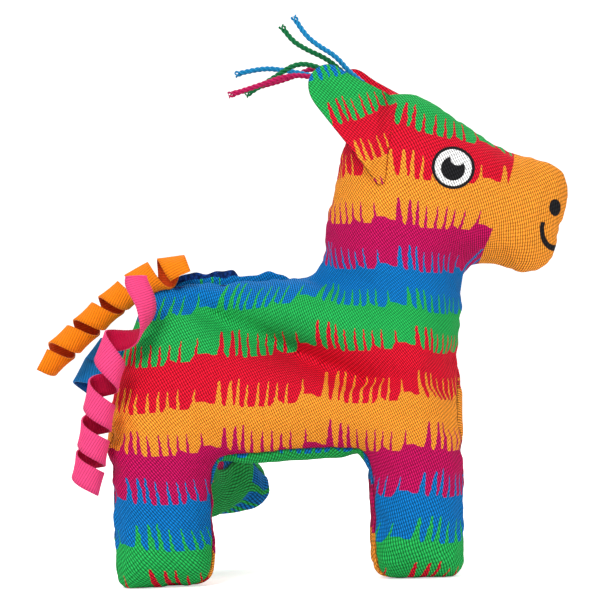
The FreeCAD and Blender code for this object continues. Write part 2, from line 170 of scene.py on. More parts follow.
def make_studio():
    """Pale floor that curves up into a backdrop, a big soft light from the camera's side and a fill."""
    bm = bmesh.new()
    front = [bm.verts.new((x, -2.0, 0)) for x in (-3.0, 3.0)]
    edge = bm.edges.new(front)
    for y, z in ((1.2, 0.0), (1.5, 0.06), (1.72, 0.28), (1.8, 0.6), (1.8, 2.6)):
        grown = bmesh.ops.extrude_edge_only(bm, edges=[edge])["geom"]
        for vert in only(bmesh.types.BMVert, grown):
            vert.co.y, vert.co.z = y, z
        edge = next(item for item in only(bmesh.types.BMEdge, grown)
                    if all(abs(v.co.y - y) < 1e-6 and abs(v.co.z - z) < 1e-6 for v in item.verts))
    bmesh.ops.recalc_face_normals(bm, faces=bm.faces)
    mesh = bpy.data.meshes.new("backdrop")
    bm.to_mesh(mesh)
    bm.free()
    shade_smooth(mesh)
    backdrop = bpy.data.objects.new("backdrop", mesh)
    bpy.context.scene.collection.objects.link(backdrop)
    material = bpy.data.materials.new("pale_paper")
    material.use_nodes = True
    shader = material.node_tree.nodes["Principled BSDF"]
    shader.inputs["Base Color"].default_value = (0.93, 0.93, 0.93, 1)
    shader.inputs["Roughness"].default_value = 0.9
    shader.inputs["Emission Color"].default_value = (1, 1, 1, 1)
    nodes, links = material.node_tree.nodes, material.node_tree.links
    seen = nodes.new("ShaderNodeLightPath")
    glow = nodes.new("ShaderNodeMath")
    glow.operation = "MULTIPLY"
    glow.inputs[1].default_value = 0.55
    links.new(seen.outputs["Is Camera Ray"], glow.inputs[0])
    links.new(glow.outputs[0], shader.inputs["Emission Strength"])
    mesh.materials.append(material)
    world = bpy.data.worlds.new("studio")
    world.use_nodes = True
    world.node_tree.nodes["Background"].inputs["Color"].default_value = (1, 1, 1, 1)
    world.node_tree.nodes["Background"].inputs["Strength"].default_value = 0.55
    bpy.context.scene.world = world
    bpy.context.scene.view_settings.view_transform = "Standard"
    middle = (0.0, 0.0, 0.07)
    area_light("key", (-0.35, -0.75, 0.75), middle, 0.4, 6.0)
    area_light("fill", (0.7, -0.6, 0.35), middle, 0.6, 1.5)
    area_light("back", (0.1, 0.6, 0.7), middle, 0.6, 3.5)


# ---- mesh helpers -------------------------------------------------------------------------------
def link(name, mesh):
    piece = bpy.data.objects.new(name, mesh)
    bpy.context.scene.collection.objects.link(piece)
    return piece


def from_bmesh(name, bm):
    mesh = bpy.data.meshes.new(name)
    bm.to_mesh(mesh)
    bm.free()
    return link(name, mesh)


def apply_modifiers(piece):
    """Swap the piece's mesh for what its modifiers make of it."""
    graph = bpy.context.evaluated_depsgraph_get()
    mesh = bpy.data.meshes.new_from_object(piece.evaluated_get(graph), preserve_all_data_layers=True,
                                           depsgraph=graph)
    old = piece.data
    piece.modifiers.clear()
    piece.data = mesh
    mesh.name = old.name
    bpy.data.meshes.remove(old)


@contextmanager
def edited(mesh):
    """The mesh as a bmesh, written back when the work on it is done."""
    bm = bmesh.new()
    bm.from_mesh(mesh)
    yield bm
    bm.to_mesh(mesh)
    bm.free()


def only(kind, items):
    """The vertices, edges or faces among what an operator made."""
    return [item for item in items if isinstance(item, kind)]


def even_out(bm, times):
    """Move each point halfway to the middle of its neighbours, a few times over."""
    for _ in range(times):
        bmesh.ops.smooth_vert(bm, verts=bm.verts, factor=0.5, use_axis_x=True, use_axis_y=True,
                              use_axis_z=True)


def thicken(piece, thickness):
    """Give a sheet its thickness on its inner side."""
    solid = piece.modifiers.new("thick", "SOLIDIFY")
    solid.thickness = thickness
    solid.offset = -1
    apply_modifiers(piece)


def shade_smooth(mesh):
    for polygon in mesh.polygons:
        polygon.use_smooth = True


def lay_uv(mesh, name, places):
    mesh.uv_layers.new(name=name).data.foreach_set("uv", places.ravel())


def mark(mesh, name, values, domain="POINT"):
    """Keep a number for each point or face, for the finish to read."""
    attribute = mesh.attributes.new(name, "FLOAT", domain)
    attribute.data.foreach_set("value", values.astype(np.float32))


def vectors_of(vertices, what):
    found = np.empty(len(vertices) * 3)
    vertices.foreach_get(what, found)
    return found.reshape(-1, 3)


def points_of(mesh):
    return vectors_of(mesh.vertices, "co")


def normals_of(mesh):
    return vectors_of(mesh.vertices, "normal")


def corner_vertices(mesh):
    """Number of the vertex at each corner of each face."""
    found = np.empty(len(mesh.loops), int)
    mesh.loops.foreach_get("vertex_index", found)
    return found


def seam_vertices(mesh):
    return sorted({v for edge in mesh.edges if edge.use_seam for v in edge.vertices})


def search_tree(points):
    tree = kdtree.KDTree(len(points))
    for i, point in enumerate(points):
        tree.insert(point, i)
    tree.balance()
    return tree


def move_points(mesh, points):
    mesh.vertices.foreach_set("co", np.asarray(points, float).ravel())
    mesh.update()


def curved(points, steps):
    """Closed smooth line through given points, as (x, z) pairs."""
    line = []
    count = len(points)
    for i in range(count):
        a, b, c, d = (Vector(points[(i + k) % count]) for k in (-1, 0, 1, 2))
        for step in range(steps):
            t = step / steps
            line.append(0.5 * (2 * b + (c - a) * t + (2 * a - 5 * b + 4 * c - d) * t ** 2
                               + (3 * b - a - 3 * c + d) * t ** 3))
    return line


def spread(line, by):
    """The closed line moved outwards, because remeshing and smoothing draw the edge in."""
    area = sum(a.x * b.y - b.x * a.y for a, b in zip(line, line[1:] + line[:1]))
    turn = by * math.copysign(1, area)
    moved = []
    for i, point in enumerate(line):
        ahead = (line[(i + 1) % len(line)] - line[i - 1]).normalized()
        moved.append(point + Vector((ahead.y, -ahead.x)) * turn)
    return moved


def slab(name, line, half, voxel, middle=0.0):
    """Block with this side view, 2 * half thick, as an even mesh of small faces."""
    bm = bmesh.new()
    face = bm.faces.new([bm.verts.new((point.x, middle - half, point.y)) for point in line])
    grown = bmesh.ops.extrude_face_region(bm, geom=[face])["geom"]
    bmesh.ops.translate(bm, vec=(0, 2 * half, 0), verts=only(bmesh.types.BMVert, grown))
    bmesh.ops.recalc_face_normals(bm, faces=bm.faces)
    piece = from_bmesh(name, bm)
    remesh(piece, voxel)
    return piece


def remesh(piece, voxel):
    modifier = piece.modifiers.new("even_mesh", "REMESH")
    modifier.mode = "VOXEL"
    modifier.voxel_size = voxel
    apply_modifiers(piece)


def distance_to_line(points, line):
    """Distance of each (x, z) point to a broken line."""
    best = np.full(len(points), 1e9)
    for a, b in zip(line, line[1:]):
        a, b = np.array(a, float), np.array(b, float)
        along = b - a
        t = np.clip((points - a) @ along / max(along @ along, 1e-9), 0, 1)
        best = np.minimum(best, np.linalg.norm(points - a - t[:, None] * along, axis=1))
    return best


def plump(distance, reach):
    """Share of full thickness that stuffing gives at this distance from a seam."""
    s = np.clip(distance / reach, 0, 1)
    return 0.15 + 0.85 * (1 - (1 - s) ** 2) ** 0.8


# ---- body skin ----------------------------------------------------------------------------------
def body_half_thickness(x, z):
    """Half the body's or head's thickness well inside its seams."""
    back = np.interp(z, (34, 42, 50, 58, 65, 72, 81), (20.5, 22, 21.2, 18.8, 15.4, 10.8, 4.9))
    chest = np.interp(z, (34, 44, 54, 64, 74, 86), (20.5, 22, 21.5, 19, 17, 16.5))
    torso = back + (chest - back) * smoothstep(x, -36, 26)
    head = np.interp(z, (84, 100, 114, 130), (17.0, 17.0, 16.5, 11.0))
    head = head + (11.5 - head) * smoothstep(x, 44, 68)
    return torso + (head - torso) * smoothstep(0.38 * (x - 4) + 0.93 * (z - 82), -10, 8)


def shape_body(piece, line):
    mesh = piece.data
    points = points_of(mesh)
    flat = points[:, [0, 2]]
    sewn = [point for point in line if point.y > SEWN_ABOVE and not (-38 < point.x < 3 and 79 < point.y < 83)]
    rear = [p for p in line if p.x < -30 and SEWN_ABOVE < p.y < 79.5]
    front = [p for p in line if p not in rear and p in sewn]
    distance = np.minimum(distance_to_line(flat, rear), distance_to_line(flat, front))
    reach = 13.0 + 3.0 * smoothstep(points[:, 2], 84, 100)
    reach = reach - 8.0 * smoothstep(points[:, 2], 60, 72) * (1 - smoothstep(points[:, 0], -28, -18))
    seam = seam_offset(points[:, 0], points[:, 2])
    seam = np.where(points[:, 2] < 60, np.minimum(seam, LEG_Y), 0)
    half = seam + (body_half_thickness(points[:, 0], points[:, 2]) - seam) * plump(distance, reach)
    points[:, 1] *= half / HALF_WIDTH
    move_points(mesh, points)


def shape_leg(piece, line, side):
    mesh = piece.data
    points = points_of(mesh)
    sewn = [p for p in line if p.y < 46]
    distance = distance_to_line(points[:, [0, 2]], sewn)
    share = plump(distance, 8.0)
    points[:, 1] = LEG_Y * side + (points[:, 1] - LEG_Y * side) * share
    move_points(mesh, points)


def seam_offset(x, z):
    """How far the seam round the flank panel lies from the middle plane."""
    reach = np.interp(x, (-48, -30, -24, -18, 11, 17, 22, 38),
                      (12.5, 13.5, 16, SEAM_Y, SEAM_Y, 16, 13.5, 12.5))
    return reach * (1 - smoothstep(z, 42, 60))


def join(pieces, name):
    bm = bmesh.new()
    for piece in pieces:
        bm.from_mesh(piece.data)
        bpy.data.objects.remove(piece)
    return from_bmesh(name, bm)


def stuffed_body():
    """The whole skin as one closed surface with all four legs hanging straight down."""
    body_line = spread(curved(BODY_LINE, LINE_STEPS), 0.9)
    body = slab("body", body_line, HALF_WIDTH, 1.8)
    shape_body(body, body_line)
    pieces = [body]
    for side in (-1, 1):
        for leg_line in (HIND_LEG_LINE, FRONT_LEG_LINE):
            line = spread(curved(leg_line, LINE_STEPS), 0.3)
            leg = slab("leg", line, LEG_HALF, 1.6, LEG_Y * side)
            shape_leg(leg, line, side)
            pieces.append(leg)
    skin = join(pieces, "skin")
    remesh(skin, SKIN_VOXEL)
    with edited(skin.data) as bm:
        even_out(bm, 4)
    return skin


def cut_seams(bm):
    """Cut the skin along the seams: flank panel to gusset on each side, panel to panel above."""
    sewn = set()
    for side in (-1, 1):
        offsets = {vert: side * float(seam_offset(vert.co.x, vert.co.z)) for vert in bm.verts}
        for vert, offset in offsets.items():
            vert.co.y -= offset
        cut = bmesh.ops.bisect_plane(bm, geom=bm.verts[:] + bm.edges[:] + bm.faces[:], dist=0.45,
                                     plane_co=(0, 0, 0), plane_no=(0, 1, 0))["geom_cut"]
        on_seam = only(bmesh.types.BMVert, cut)
        for vert in on_seam:
            vert.co.y = 0.0
        for vert in bm.verts:
            vert.co.y += side * float(seam_offset(vert.co.x, vert.co.z))
        sewn.update(on_seam)
    for edge in bm.edges:
        edge.seam = edge.verts[0] in sewn and edge.verts[1] in sewn and is_seam(edge)


def is_seam(edge):
    """True where the faces on the two sides of the edge belong to different panels."""
    if len(edge.link_faces) != 2:
        return True
    first, second = (panel_of(face.calc_center_median()) for face in edge.link_faces)
    return first != second


def panel_of(point):
    offset = float(seam_offset(point.x, point.z))
    if abs(point.y) > offset:
        return "right" if point.y < 0 else "left"
    return "gusset"


def unwrap(piece):
    """Flatten each panel as cloth, turned so that its middle lies as it does in the side view."""
    bpy.ops.object.select_all(action="DESELECT")
    piece.select_set(True)
    bpy.context.view_layer.objects.active = piece
    mesh = piece.data
    mesh.uv_layers.new(name="cloth")
    bpy.ops.object.mode_set(mode="EDIT")
    bpy.ops.mesh.select_all(action="SELECT")
    bpy.ops.uv.unwrap(method="ANGLE_BASED", margin=0.01)
    bpy.ops.object.mode_set(mode="OBJECT")
    layer = mesh.uv_layers["cloth"]
    flat = np.empty(len(mesh.loops) * 2)
    layer.data.foreach_get("uv", flat)
    flat = flat.reshape(-1, 2)
    points = points_of(mesh)[corner_vertices(mesh)]
    label = np.empty(len(mesh.loops), int)
    for polygon in mesh.polygons:
        label[list(polygon.loop_indices)] = PANELS.index(panel_of(Vector(polygon.center)))
    for number in range(len(PANELS)):
        chosen = label == number
        if not chosen.any():
            continue
        target = points[chosen][:, [0, 2]]
        given = flat[chosen]
        a, b = given - given.mean(0), target - target.mean(0)
        left, _, right = np.linalg.svd(a.T @ b)
        scale = math.sqrt(cloth_area(mesh, number) / max(flat_area(mesh, flat, number), 1e-12))
        flat[chosen] = a @ (left @ right) * scale + target.mean(0)
    layer.data.foreach_set("uv", flat.ravel())
    return flat, points, label


def cloth_area(mesh, number):
    return sum(p.area for p in mesh.polygons if PANELS.index(panel_of(Vector(p.center))) == number)


def flat_area(mesh, flat, number):
    total = 0.0
    for polygon in mesh.polygons:
        if PANELS.index(panel_of(Vector(polygon.center))) == number:
            ring = flat[list(polygon.loop_indices)]
            x, y = ring[:, 0], ring[:, 1]
            total += abs(np.dot(x, np.roll(y, -1)) - np.dot(y, np.roll(x, -1))) / 2
    return total


def printed_row(x, z):
    """Row of the print at a place in the side view: 0 at the crown's edge, one more for each row down."""
    x, z = x * NEAR_SIDE, VIEW_Z + (z - VIEW_Z) * NEAR_SIDE
    edges = np.array([np.interp(x, ROW_X, row) for row in PRINT_ROWS])
    rows = np.arange(len(PRINT_ROWS))
    above = (edges[0] - z) / ROW_HEIGHT
    found = np.array([np.interp(-h, -edges[:, i], rows) for i, h in enumerate(z)])
    below = rows[-1] + (edges[-1] - z) / ROW_HEIGHT
    return np.where(z > edges[0], above, np.where(z < edges[-1], below, found))


def add_print(mesh, flat, points, label):
    """Where the fringe, and the face, fall on the cloth."""
    u = (flat[:, 0] - MOTIF_START) / MOTIF
    v = printed_row(points[:, 0], points[:, 2])
    gusset = label == PANELS.index("gusset")
    from_seam = SEAM_Y - np.abs(points[:, 1])
    kicked = (points[:, 1] > 0) & (points[:, 0] < -4)
    belly = smoothstep(points[:, 2], 27, 33) * smoothstep(points[:, 0], -27, -20)
    belly = belly * (1 - smoothstep(points[:, 0], 12, 19))
    on_leg = np.where(kicked, 5 + (points[:, 2] - 33) / 27, 3 + (points[:, 2] - 24) / ROW_HEIGHT)
    on_belly = 4.12 + from_seam / ROW_HEIGHT
    u = np.where(gusset, (points[:, 0] + 9) / MOTIF, u)
    under = gusset & (points[:, 0] > -43) & (points[:, 0] < 34)
    v = np.where(under, on_leg + (on_belly - on_leg) * belly, v)
    lay_uv(mesh, "print", np.stack([u, v], 1))
    side = (points[:, [0, 2]] - (0, VIEW_Z)) * NEAR_SIDE + (0, VIEW_Z)
    side[gusset] = 0.0
    side[points[:, 2] < 78] = 0.0
    lay_uv(mesh, "face", side)


def inflate(piece, pinned):
    """Swell the skin as stuffing does, with its seams held, so that the cloth puckers along them."""
    scale = 0.1
    mesh = piece.data
    before = points_of(mesh)
    blown = link("blown", mesh.copy())
    move_points(blown.data, before * scale)
    group = blown.vertex_groups.new(name="seams")
    group.add([int(i) for i in pinned], 1.0, "REPLACE")
    modifier = blown.modifiers.new("cloth", "CLOTH")
    settings = modifier.settings
    settings.quality = 6
    settings.mass = 0.02
    settings.tension_stiffness = settings.compression_stiffness = 12
    settings.shear_stiffness = 4
    settings.bending_stiffness = 0.08
    settings.vertex_group_mass = "seams"
    settings.pin_stiffness = 1.0
    settings.shrink_min = -0.05
    settings.use_pressure = True
    settings.uniform_pressure_force = SWELL_PRESSURE
    settings.effector_weights.gravity = 0
    modifier.collision_settings.use_collision = False
    scene = bpy.context.scene
    modifier.point_cache.frame_start, modifier.point_cache.frame_end = 1, SWELL_FRAMES
    for number in range(1, SWELL_FRAMES + 1):
        scene.frame_set(number)
    graph = bpy.context.evaluated_depsgraph_get()
    after = points_of(blown.evaluated_get(graph).data) / scale
    scene.frame_set(1)
    bpy.data.objects.remove(blown)
    moved = after - before
    length = np.linalg.norm(moved, axis=1)
    moved *= (MOST_SWELL * np.tanh(length / MOST_SWELL) / np.maximum(length, 1e-9))[:, None]
    move_points(mesh, before + moved)


def near_seams(points, sewn_points):
    """Distance of each point to the nearest seam point."""
    tree = search_tree(sewn_points)
    return np.array([tree.find(point)[2] for point in points])


def seam_groove(piece, depth=0.45):
    """Draw the cloth in along its seams and pucker it beside them."""
    mesh = piece.data
    points = points_of(mesh)
    distance = near_seams(points, points[seam_vertices(mesh)])
    normals = normals_of(mesh)
    pull = depth * np.exp(-(distance / 0.75) ** 2)
    belly = smoothstep(points[:, 0], -22, -15) * (1 - smoothstep(points[:, 0], 8, 15))
    belly *= smoothstep(SEAM_Y - np.abs(points[:, 1]), 0, 4) * (1 - smoothstep(points[:, 2], 38, 41))
    points[:, 2] -= 1.3 * belly
    ripple = np.array([noise.noise(Vector(p) * 0.33) for p in points])
    gather = 0.28 * ripple * np.exp(-((distance - 2.2) / 2.2) ** 2)
    dents = 0.32 * np.array([noise.noise(Vector(p) * 0.09 + Vector((7, 3, 1))) for p in points])
    points = points + normals * (gather + dents - pull)[:, None]
    move_points(mesh, points)
    mark(mesh, "seam", distance)


def subdivide(piece):
    modifier = piece.modifiers.new("smooth", "SUBSURF")
    modifier.levels = modifier.render_levels = 1
    apply_modifiers(piece)


# ---- where the skin bends -----------------------------------------------------------------------
def leg_bend(end, side):
    """Point and direction of the plane above a leg where the skin begins to follow it."""
    if end == "hind":
        return Vector((-21, 19 * side, 36)), Vector((-0.239, 0.557 * side, -0.796)).normalized()
    return Vector((13.5, 19 * side, 36)), Vector((0.239, 0.557 * side, -0.796)).normalized()


BEND_LENGTH = 15.0
HEAD_PLANE = (Vector((4, 0, 82)), Vector((0.38, 0, 0.925)).normalized())
HEAD_BEND = 20.0
SPLAY = math.radians(60)
LEAN = 12.0                        # how far forward the kicked-out foot points


def kick_out(mesh):
    """Swing the left hind leg out to its side about its hip."""
    points = points_of(mesh)
    start, way = leg_bend("hind", 1)
    chosen = (points[:, 0] < -4) & (points[:, 1] > 0)
    along = (points - np.array(start)) @ np.array(way)
    share = np.where(chosen, smoothstep(along, 0, BEND_LENGTH), 0)
    down = np.clip((HIP_Z - points[:, 2]) / HIP_Z, 0, 1) ** 1.4
    points[:, 0] += (LEAN + 5.0 * smoothstep(points[:, 0], -40, -26)) * share * down
    angle = SPLAY * share
    y, z = points[:, 1] - LEG_Y, points[:, 2] - HIP_Z
    points[:, 1] = LEG_Y + y * np.cos(angle) - z * np.sin(angle)
    points[:, 2] = HIP_Z + y * np.sin(angle) + z * np.cos(angle)
    move_points(mesh, points)


def body_skin():
    skin = stuffed_body()
    with edited(skin.data) as bm:
        cut_seams(bm)
    flat, points, label = unwrap(skin)
    add_print(skin.data, flat, points, label)
    inflate(skin, seam_vertices(skin.data))
    subdivide(skin)
    seam_groove(skin)
    points = points_of(skin.data)
    points[:, 2] = np.maximum(points[:, 2], FLOOR_GAP)
    move_points(skin.data, points)
    kick_out(skin.data)
    return skin


# ---- finishes -----------------------------------------------------------------------------------
class Nodes:
    """Short way to lay out a material's or a group's nodes."""

    def __init__(self, tree):
        self.tree = tree

    def add(self, kind, **settings):
        node = self.tree.nodes.new(kind)
        for name, value in settings.items():
            setattr(node, name, value)
        return node

    def feed(self, socket, value):
        if isinstance(value, bpy.types.NodeSocket):
            self.tree.links.new(value, socket)
        elif value is not None:
            socket.default_value = value

    def math(self, operation, a, b=None, c=None):
        node = self.add("ShaderNodeMath", operation=operation)
        for socket, value in zip(node.inputs, (a, b, c)):
            self.feed(socket, value)
        return node.outputs[0]

    def scale(self, vector, factor):
        node = self.add("ShaderNodeVectorMath", operation="SCALE")
        self.feed(node.inputs[0], vector)
        self.feed(node.inputs["Scale"], factor)
        return node.outputs[0]

    def split(self, vector):
        node = self.add("ShaderNodeSeparateXYZ")
        self.feed(node.inputs[0], vector)
        return node.outputs[0], node.outputs[1], node.outputs[2]

    def uv(self, name):
        return self.add("ShaderNodeUVMap", uv_map=name).outputs[0]

    def noise(self, vector, scale, detail=2.0):
        node = self.add("ShaderNodeTexNoise")
        self.feed(node.inputs["Vector"], vector)
        node.inputs["Scale"].default_value = scale
        node.inputs["Detail"].default_value = detail
        return node.outputs["Fac"]

    def mix(self, share, a, b):
        node = self.add("ShaderNodeMix", data_type="RGBA")
        self.feed(node.inputs[0], share)
        self.feed(node.inputs[6], a)
        self.feed(node.inputs[7], b)
        return node.outputs[2]

    def tint(self, colour, value):
        """Colour made lighter or darker: value 1 leaves it as it is."""
        node = self.add("ShaderNodeHueSaturation")
        self.feed(node.inputs["Color"], colour)
        self.feed(node.inputs["Value"], value)
        return node.outputs[0]

    def span(self, value, low, high, to_low, to_high, smooth=False):
        node = self.add("ShaderNodeMapRange")
        node.interpolation_type = "SMOOTHSTEP" if smooth else "LINEAR"
        for socket, given in zip(node.inputs, (value, low, high, to_low, to_high)):
            self.feed(socket, given)
        return node.outputs[0]


def group_tree(name, inputs, outputs):
    tree = bpy.data.node_groups.new(name, "ShaderNodeTree")
    for label, kind in inputs:
        tree.interface.new_socket(label, in_out="INPUT", socket_type=kind)
    for label, kind in outputs:
        tree.interface.new_socket(label, in_out="OUTPUT", socket_type=kind)
    return tree, tree.nodes.new("NodeGroupInput"), tree.nodes.new("NodeGroupOutput")


def make_weave():
    """Canvas twill from the cloth's own coordinates in millimetres: the height of each thread, and a Light
    that paints light on the thread crowns and shade in the gaps, with random fibre tone.
    """
    tree, given, result = group_tree(
        "canvas_weave", [("Cloth", "NodeSocketVector"), ("Pitch", "NodeSocketFloat")],
        [("Height", "NodeSocketFloat"), ("Light", "NodeSocketFloat")])
    n = Nodes(tree)
    x, y, _ = n.split(n.scale(given.outputs["Cloth"], n.math("DIVIDE", 1.0, given.outputs["Pitch"])))
    wander = n.noise(given.outputs["Cloth"], 0.35, 1.0)
    x = n.math("ADD", x, n.math("MULTIPLY", wander, 0.7))
    slant = n.math("ADD", x, n.math("MULTIPLY", y, 0.5))
    ridge = n.math("ABSOLUTE", n.math("SINE", n.math("MULTIPLY", slant, math.pi)))
    broken = n.math("SUBTRACT", n.math("MULTIPLY", y, 0.62), n.math("MULTIPLY", x, 0.36))
    cell = n.math("ABSOLUTE", n.math("SINE", n.math("MULTIPLY", broken, math.pi)))
    thread = n.math("MULTIPLY", ridge, n.math("ADD", n.math("MULTIPLY", cell, 0.55), 0.45))
    fibre = n.noise(given.outputs["Cloth"], 3.2, 2.0)
    uneven = n.noise(given.outputs["Cloth"], 0.9, 2.0)
    # painted light and shade: the thread crowns lighter and the gaps between threads darker; fibre and uneven
    # add random tone
    light = n.math("ADD", n.math("MULTIPLY", thread, 1.5), n.math("MULTIPLY", fibre, 0.55))
    light = n.math("ADD", light, n.math("MULTIPLY", uneven, 0.3))
    n.feed(result.inputs["Height"], n.math("ADD", thread, n.math("MULTIPLY", fibre, 0.3)))
    n.feed(result.inputs["Light"], n.math("SUBTRACT", light, 0.27))
    return tree


# one repeat of the fringe: (middle, half width at its foot, height) of each spike, in shares of the
# repeat and of the tallest spike, and the floor of the print between them
SPIKES = [
    (0.035, 0.033, 1.0), (0.140, 0.032, 1.0), (0.213, 0.022, 1.0), (0.297, 0.017, 0.78), (0.398, 0.018, 0.8),
    (0.487, 0.017, 0.78), (0.572, 0.016, 0.74), (0.663, 0.016, 0.78), (0.808, 0.015, 0.77),
]
FLOORS = [(0.0, 0.2), (0.09, 0.08), (0.18, 0.09), (0.25, 0.0), (0.35, 0.0), (0.44, 0.0), (0.53, 0.0),
          (0.60, 0.16), (0.70, 0.05), (0.76, 0.05), (0.85, 0.3), (0.90, 0.3), (0.96, 0.2)]


def fringe_outline():
    """Points of the fringe's edge across one repeat: flat stretches with narrow spikes between them."""
    outline = []
    for start, height in FLOORS:
        if not any(abs(start - middle) < half for middle, half, _ in SPIKES):
            outline.append((start, height))
    for middle, half, height in SPIKES:
        near = min(FLOORS, key=lambda place: abs(place[0] - middle))[1]
        outline += [(middle - half, near), (middle - 0.3 * half, height), (middle + 0.3 * half, height),
                    (middle + half, near)]
    outline.sort()
    return [(0.0, 0.2)] + [point for point in outline if 0 < point[0] < 1] + [(1.0, 0.2)]


PRINT_COLOURS = {
    "green": (0.016, 0.40, 0.080, 1), "red": (0.68, 0.005, 0.026, 1), "orange": (0.88, 0.30, 0.028, 1),
    "magenta": (0.50, 0.004, 0.096, 1), "blue": (0.002, 0.165, 0.49, 1),
}
BLACK = (0.012, 0.012, 0.014, 1)
WHITE = (0.92, 0.92, 0.91, 1)


def make_fringe_print():
    """Rows of fringed colour from print coordinates: across in repeats, down in rows."""
    tree, given, result = group_tree("fringe_print", [("Print", "NodeSocketVector")],
                                     [("Color", "NodeSocketColor")])
    n = Nodes(tree)
    across, down, _ = n.split(given.outputs["Print"])
    wobble = n.noise(given.outputs["Print"], 9.0, 2.0)
    down_nearest = n.math("ROUND", down)
    slant = n.math("MULTIPLY", n.math("SUBTRACT", down, down_nearest), 0.035)
    stagger = n.math("MULTIPLY", n.math("SINE", n.math("MULTIPLY", down_nearest, 2.4)), 0.02)
    across = n.math("ADD", n.math("ADD", across, slant),
                    n.math("ADD", stagger, n.math("MULTIPLY", n.math("SUBTRACT", wobble, 0.5), 0.03)))
    curve = n.add("ShaderNodeFloatCurve")
    line = curve.mapping.curves[0]
    shape = fringe_outline()
    line.points[0].location, line.points[-1].location = shape[0], shape[-1]
    for point in shape[1:-1]:
        line.points.new(*point)
    for point in line.points:
        point.handle_type = "VECTOR"
    curve.mapping.update()
    n.feed(curve.inputs["Value"], n.math("FRACT", across))
    uneven = n.noise(given.outputs["Print"], 3.7, 1.0)
    rise = n.math("MULTIPLY", curve.outputs[0], n.math("ADD", 0.48, n.math("MULTIPLY", uneven, 0.24)))
    below = n.math("ADD", n.math("SUBTRACT", down, down_nearest), n.math("SUBTRACT", rise, 0.25))
    number = n.math("ADD", down_nearest, n.math("GREATER_THAN", below, 0.0))
    place = n.math("DIVIDE", n.math("ADD", n.math("FLOORED_MODULO", number, 5.0), 0.5), 5.0)
    ramp = n.add("ShaderNodeValToRGB")
    ramp.color_ramp.interpolation = "CONSTANT"
    elements = ramp.color_ramp.elements
    for i, colour in enumerate(PRINT_COLOURS.values()):
        element = elements[i] if i < 2 else elements.new(i / 5)
        element.position, element.color = i / 5, colour
    n.feed(ramp.inputs[0], place)
    n.feed(result.inputs["Color"], ramp.outputs[0])
    return tree


def distance_from(n, x, z, place, stretch=(1.0, 1.0)):
    across = n.math("DIVIDE", n.math("SUBTRACT", x, place[0]), stretch[0])
    up = n.math("DIVIDE", n.math("SUBTRACT", z, place[1]), stretch[1])
    return n.math("SQRT", n.math("ADD", n.math("MULTIPLY", across, across), n.math("MULTIPLY", up, up)))


def inside(n, value, limit, soft=0.12):
    return n.span(value, limit - soft, limit + soft, 1.0, 0.0, True)


def printed_face(n, colour):
    """Orange muzzle, eye, nostril and mouth, printed flat on both sides of the head."""
    x, z, _ = n.split(n.uv("face"))
    muzzle_edge = n.math("ADD", 50.1, n.math("MULTIPLY", n.math("SUBTRACT", z, 84.6), 0.36))
    muzzle = n.span(n.math("SUBTRACT", x, muzzle_edge), -0.1, 0.1, 0.0, 1.0)
    muzzle = n.math("MULTIPLY", muzzle, n.math("GREATER_THAN", z, 80.0))
    colour = n.mix(muzzle, colour, PRINT_COLOURS["orange"])
    eye = distance_from(n, x, z, (42.8, 109.5))
    colour = n.mix(inside(n, eye, 5.8), colour, BLACK)
    colour = n.mix(inside(n, eye, 4.95), colour, WHITE)
    light = n.math("SUBTRACT", 1.0, inside(n, distance_from(n, x, z, (44.1, 111.9)), 1.9))
    pupil = n.math("MULTIPLY", inside(n, distance_from(n, x, z, (42.7, 109.2)), 3.25), light)
    colour = n.mix(pupil, colour, BLACK)
    colour = n.mix(inside(n, distance_from(n, x, z, (70.4, 98.4), (1.75, 2.3)), 1.0, 0.06), colour, BLACK)
    smile = n.math("ABSOLUTE", n.math("SUBTRACT", distance_from(n, x, z, (70.7, 92.9), (1.0, 1.25)), 4.3))
    stroke = n.math("MULTIPLY", inside(n, smile, 0.66), inside(n, z, 94.6))
    return n.mix(stroke, colour, BLACK)


def fabric_material(name, roughness=0.82, sheen=0.25):
    material = bpy.data.materials.new(name)
    material.use_nodes = True
    n = Nodes(material.node_tree)
    shader = material.node_tree.nodes["Principled BSDF"]
    shader.inputs["Roughness"].default_value = roughness
    shader.inputs["Specular IOR Level"].default_value = 0.12
    shader.inputs["Sheen Weight"].default_value = sheen
    shader.inputs["Sheen Roughness"].default_value = 0.5
    return material, n, shader


def bump(n, shader, height, strength, distance):
    node = n.add("ShaderNodeBump")
    node.inputs["Strength"].default_value = strength
    node.inputs["Distance"].default_value = distance
    n.feed(node.inputs["Height"], height)
    n.feed(shader.inputs["Normal"], node.outputs[0])


def place_group(n, tree, **inputs):
    node = n.add("ShaderNodeGroup", node_tree=tree)
    for name, value in inputs.items():
        n.feed(node.inputs[name], value)
    return node


def make_canvas(weave, fringe):
    """Printed canvas: fringe rows and the face, twill weave with painted thread light and shade, and a darker
    line along the seams that is the stitching and painted shade in the seam's crease.
    """
    material, n, shader = fabric_material("printed_canvas", 0.85, 0.0)
    cloth = n.uv("cloth")
    woven = place_group(n, weave, Cloth=cloth, Pitch=0.66)
    rows = place_group(n, fringe, Print=n.uv("print"))
    colour = printed_face(n, rows.outputs["Color"])
    fade = n.noise(cloth, 0.08, 3.0)
    seam = n.add("ShaderNodeAttribute", attribute_name="seam").outputs["Fac"]
    # darker within 0.8 mm of a seam: the stitch line, and painted shade in the crease that the seam draws in
    seam_line_and_shade = n.span(seam, 0.25, 0.8, 0.42, 1.0, True)
    light = n.math("MULTIPLY", woven.outputs["Light"], n.math("ADD", 0.92, n.math("MULTIPLY", fade, 0.2)))
    n.feed(shader.inputs["Base Color"], n.tint(colour, n.math("MULTIPLY", light, seam_line_and_shade)))
    n.feed(shader.inputs["Roughness"], n.span(woven.outputs["Height"], 0.0, 1.0, 0.95, 0.78))
    bump(n, shader, woven.outputs["Height"], 0.7, 0.00022)
    return material


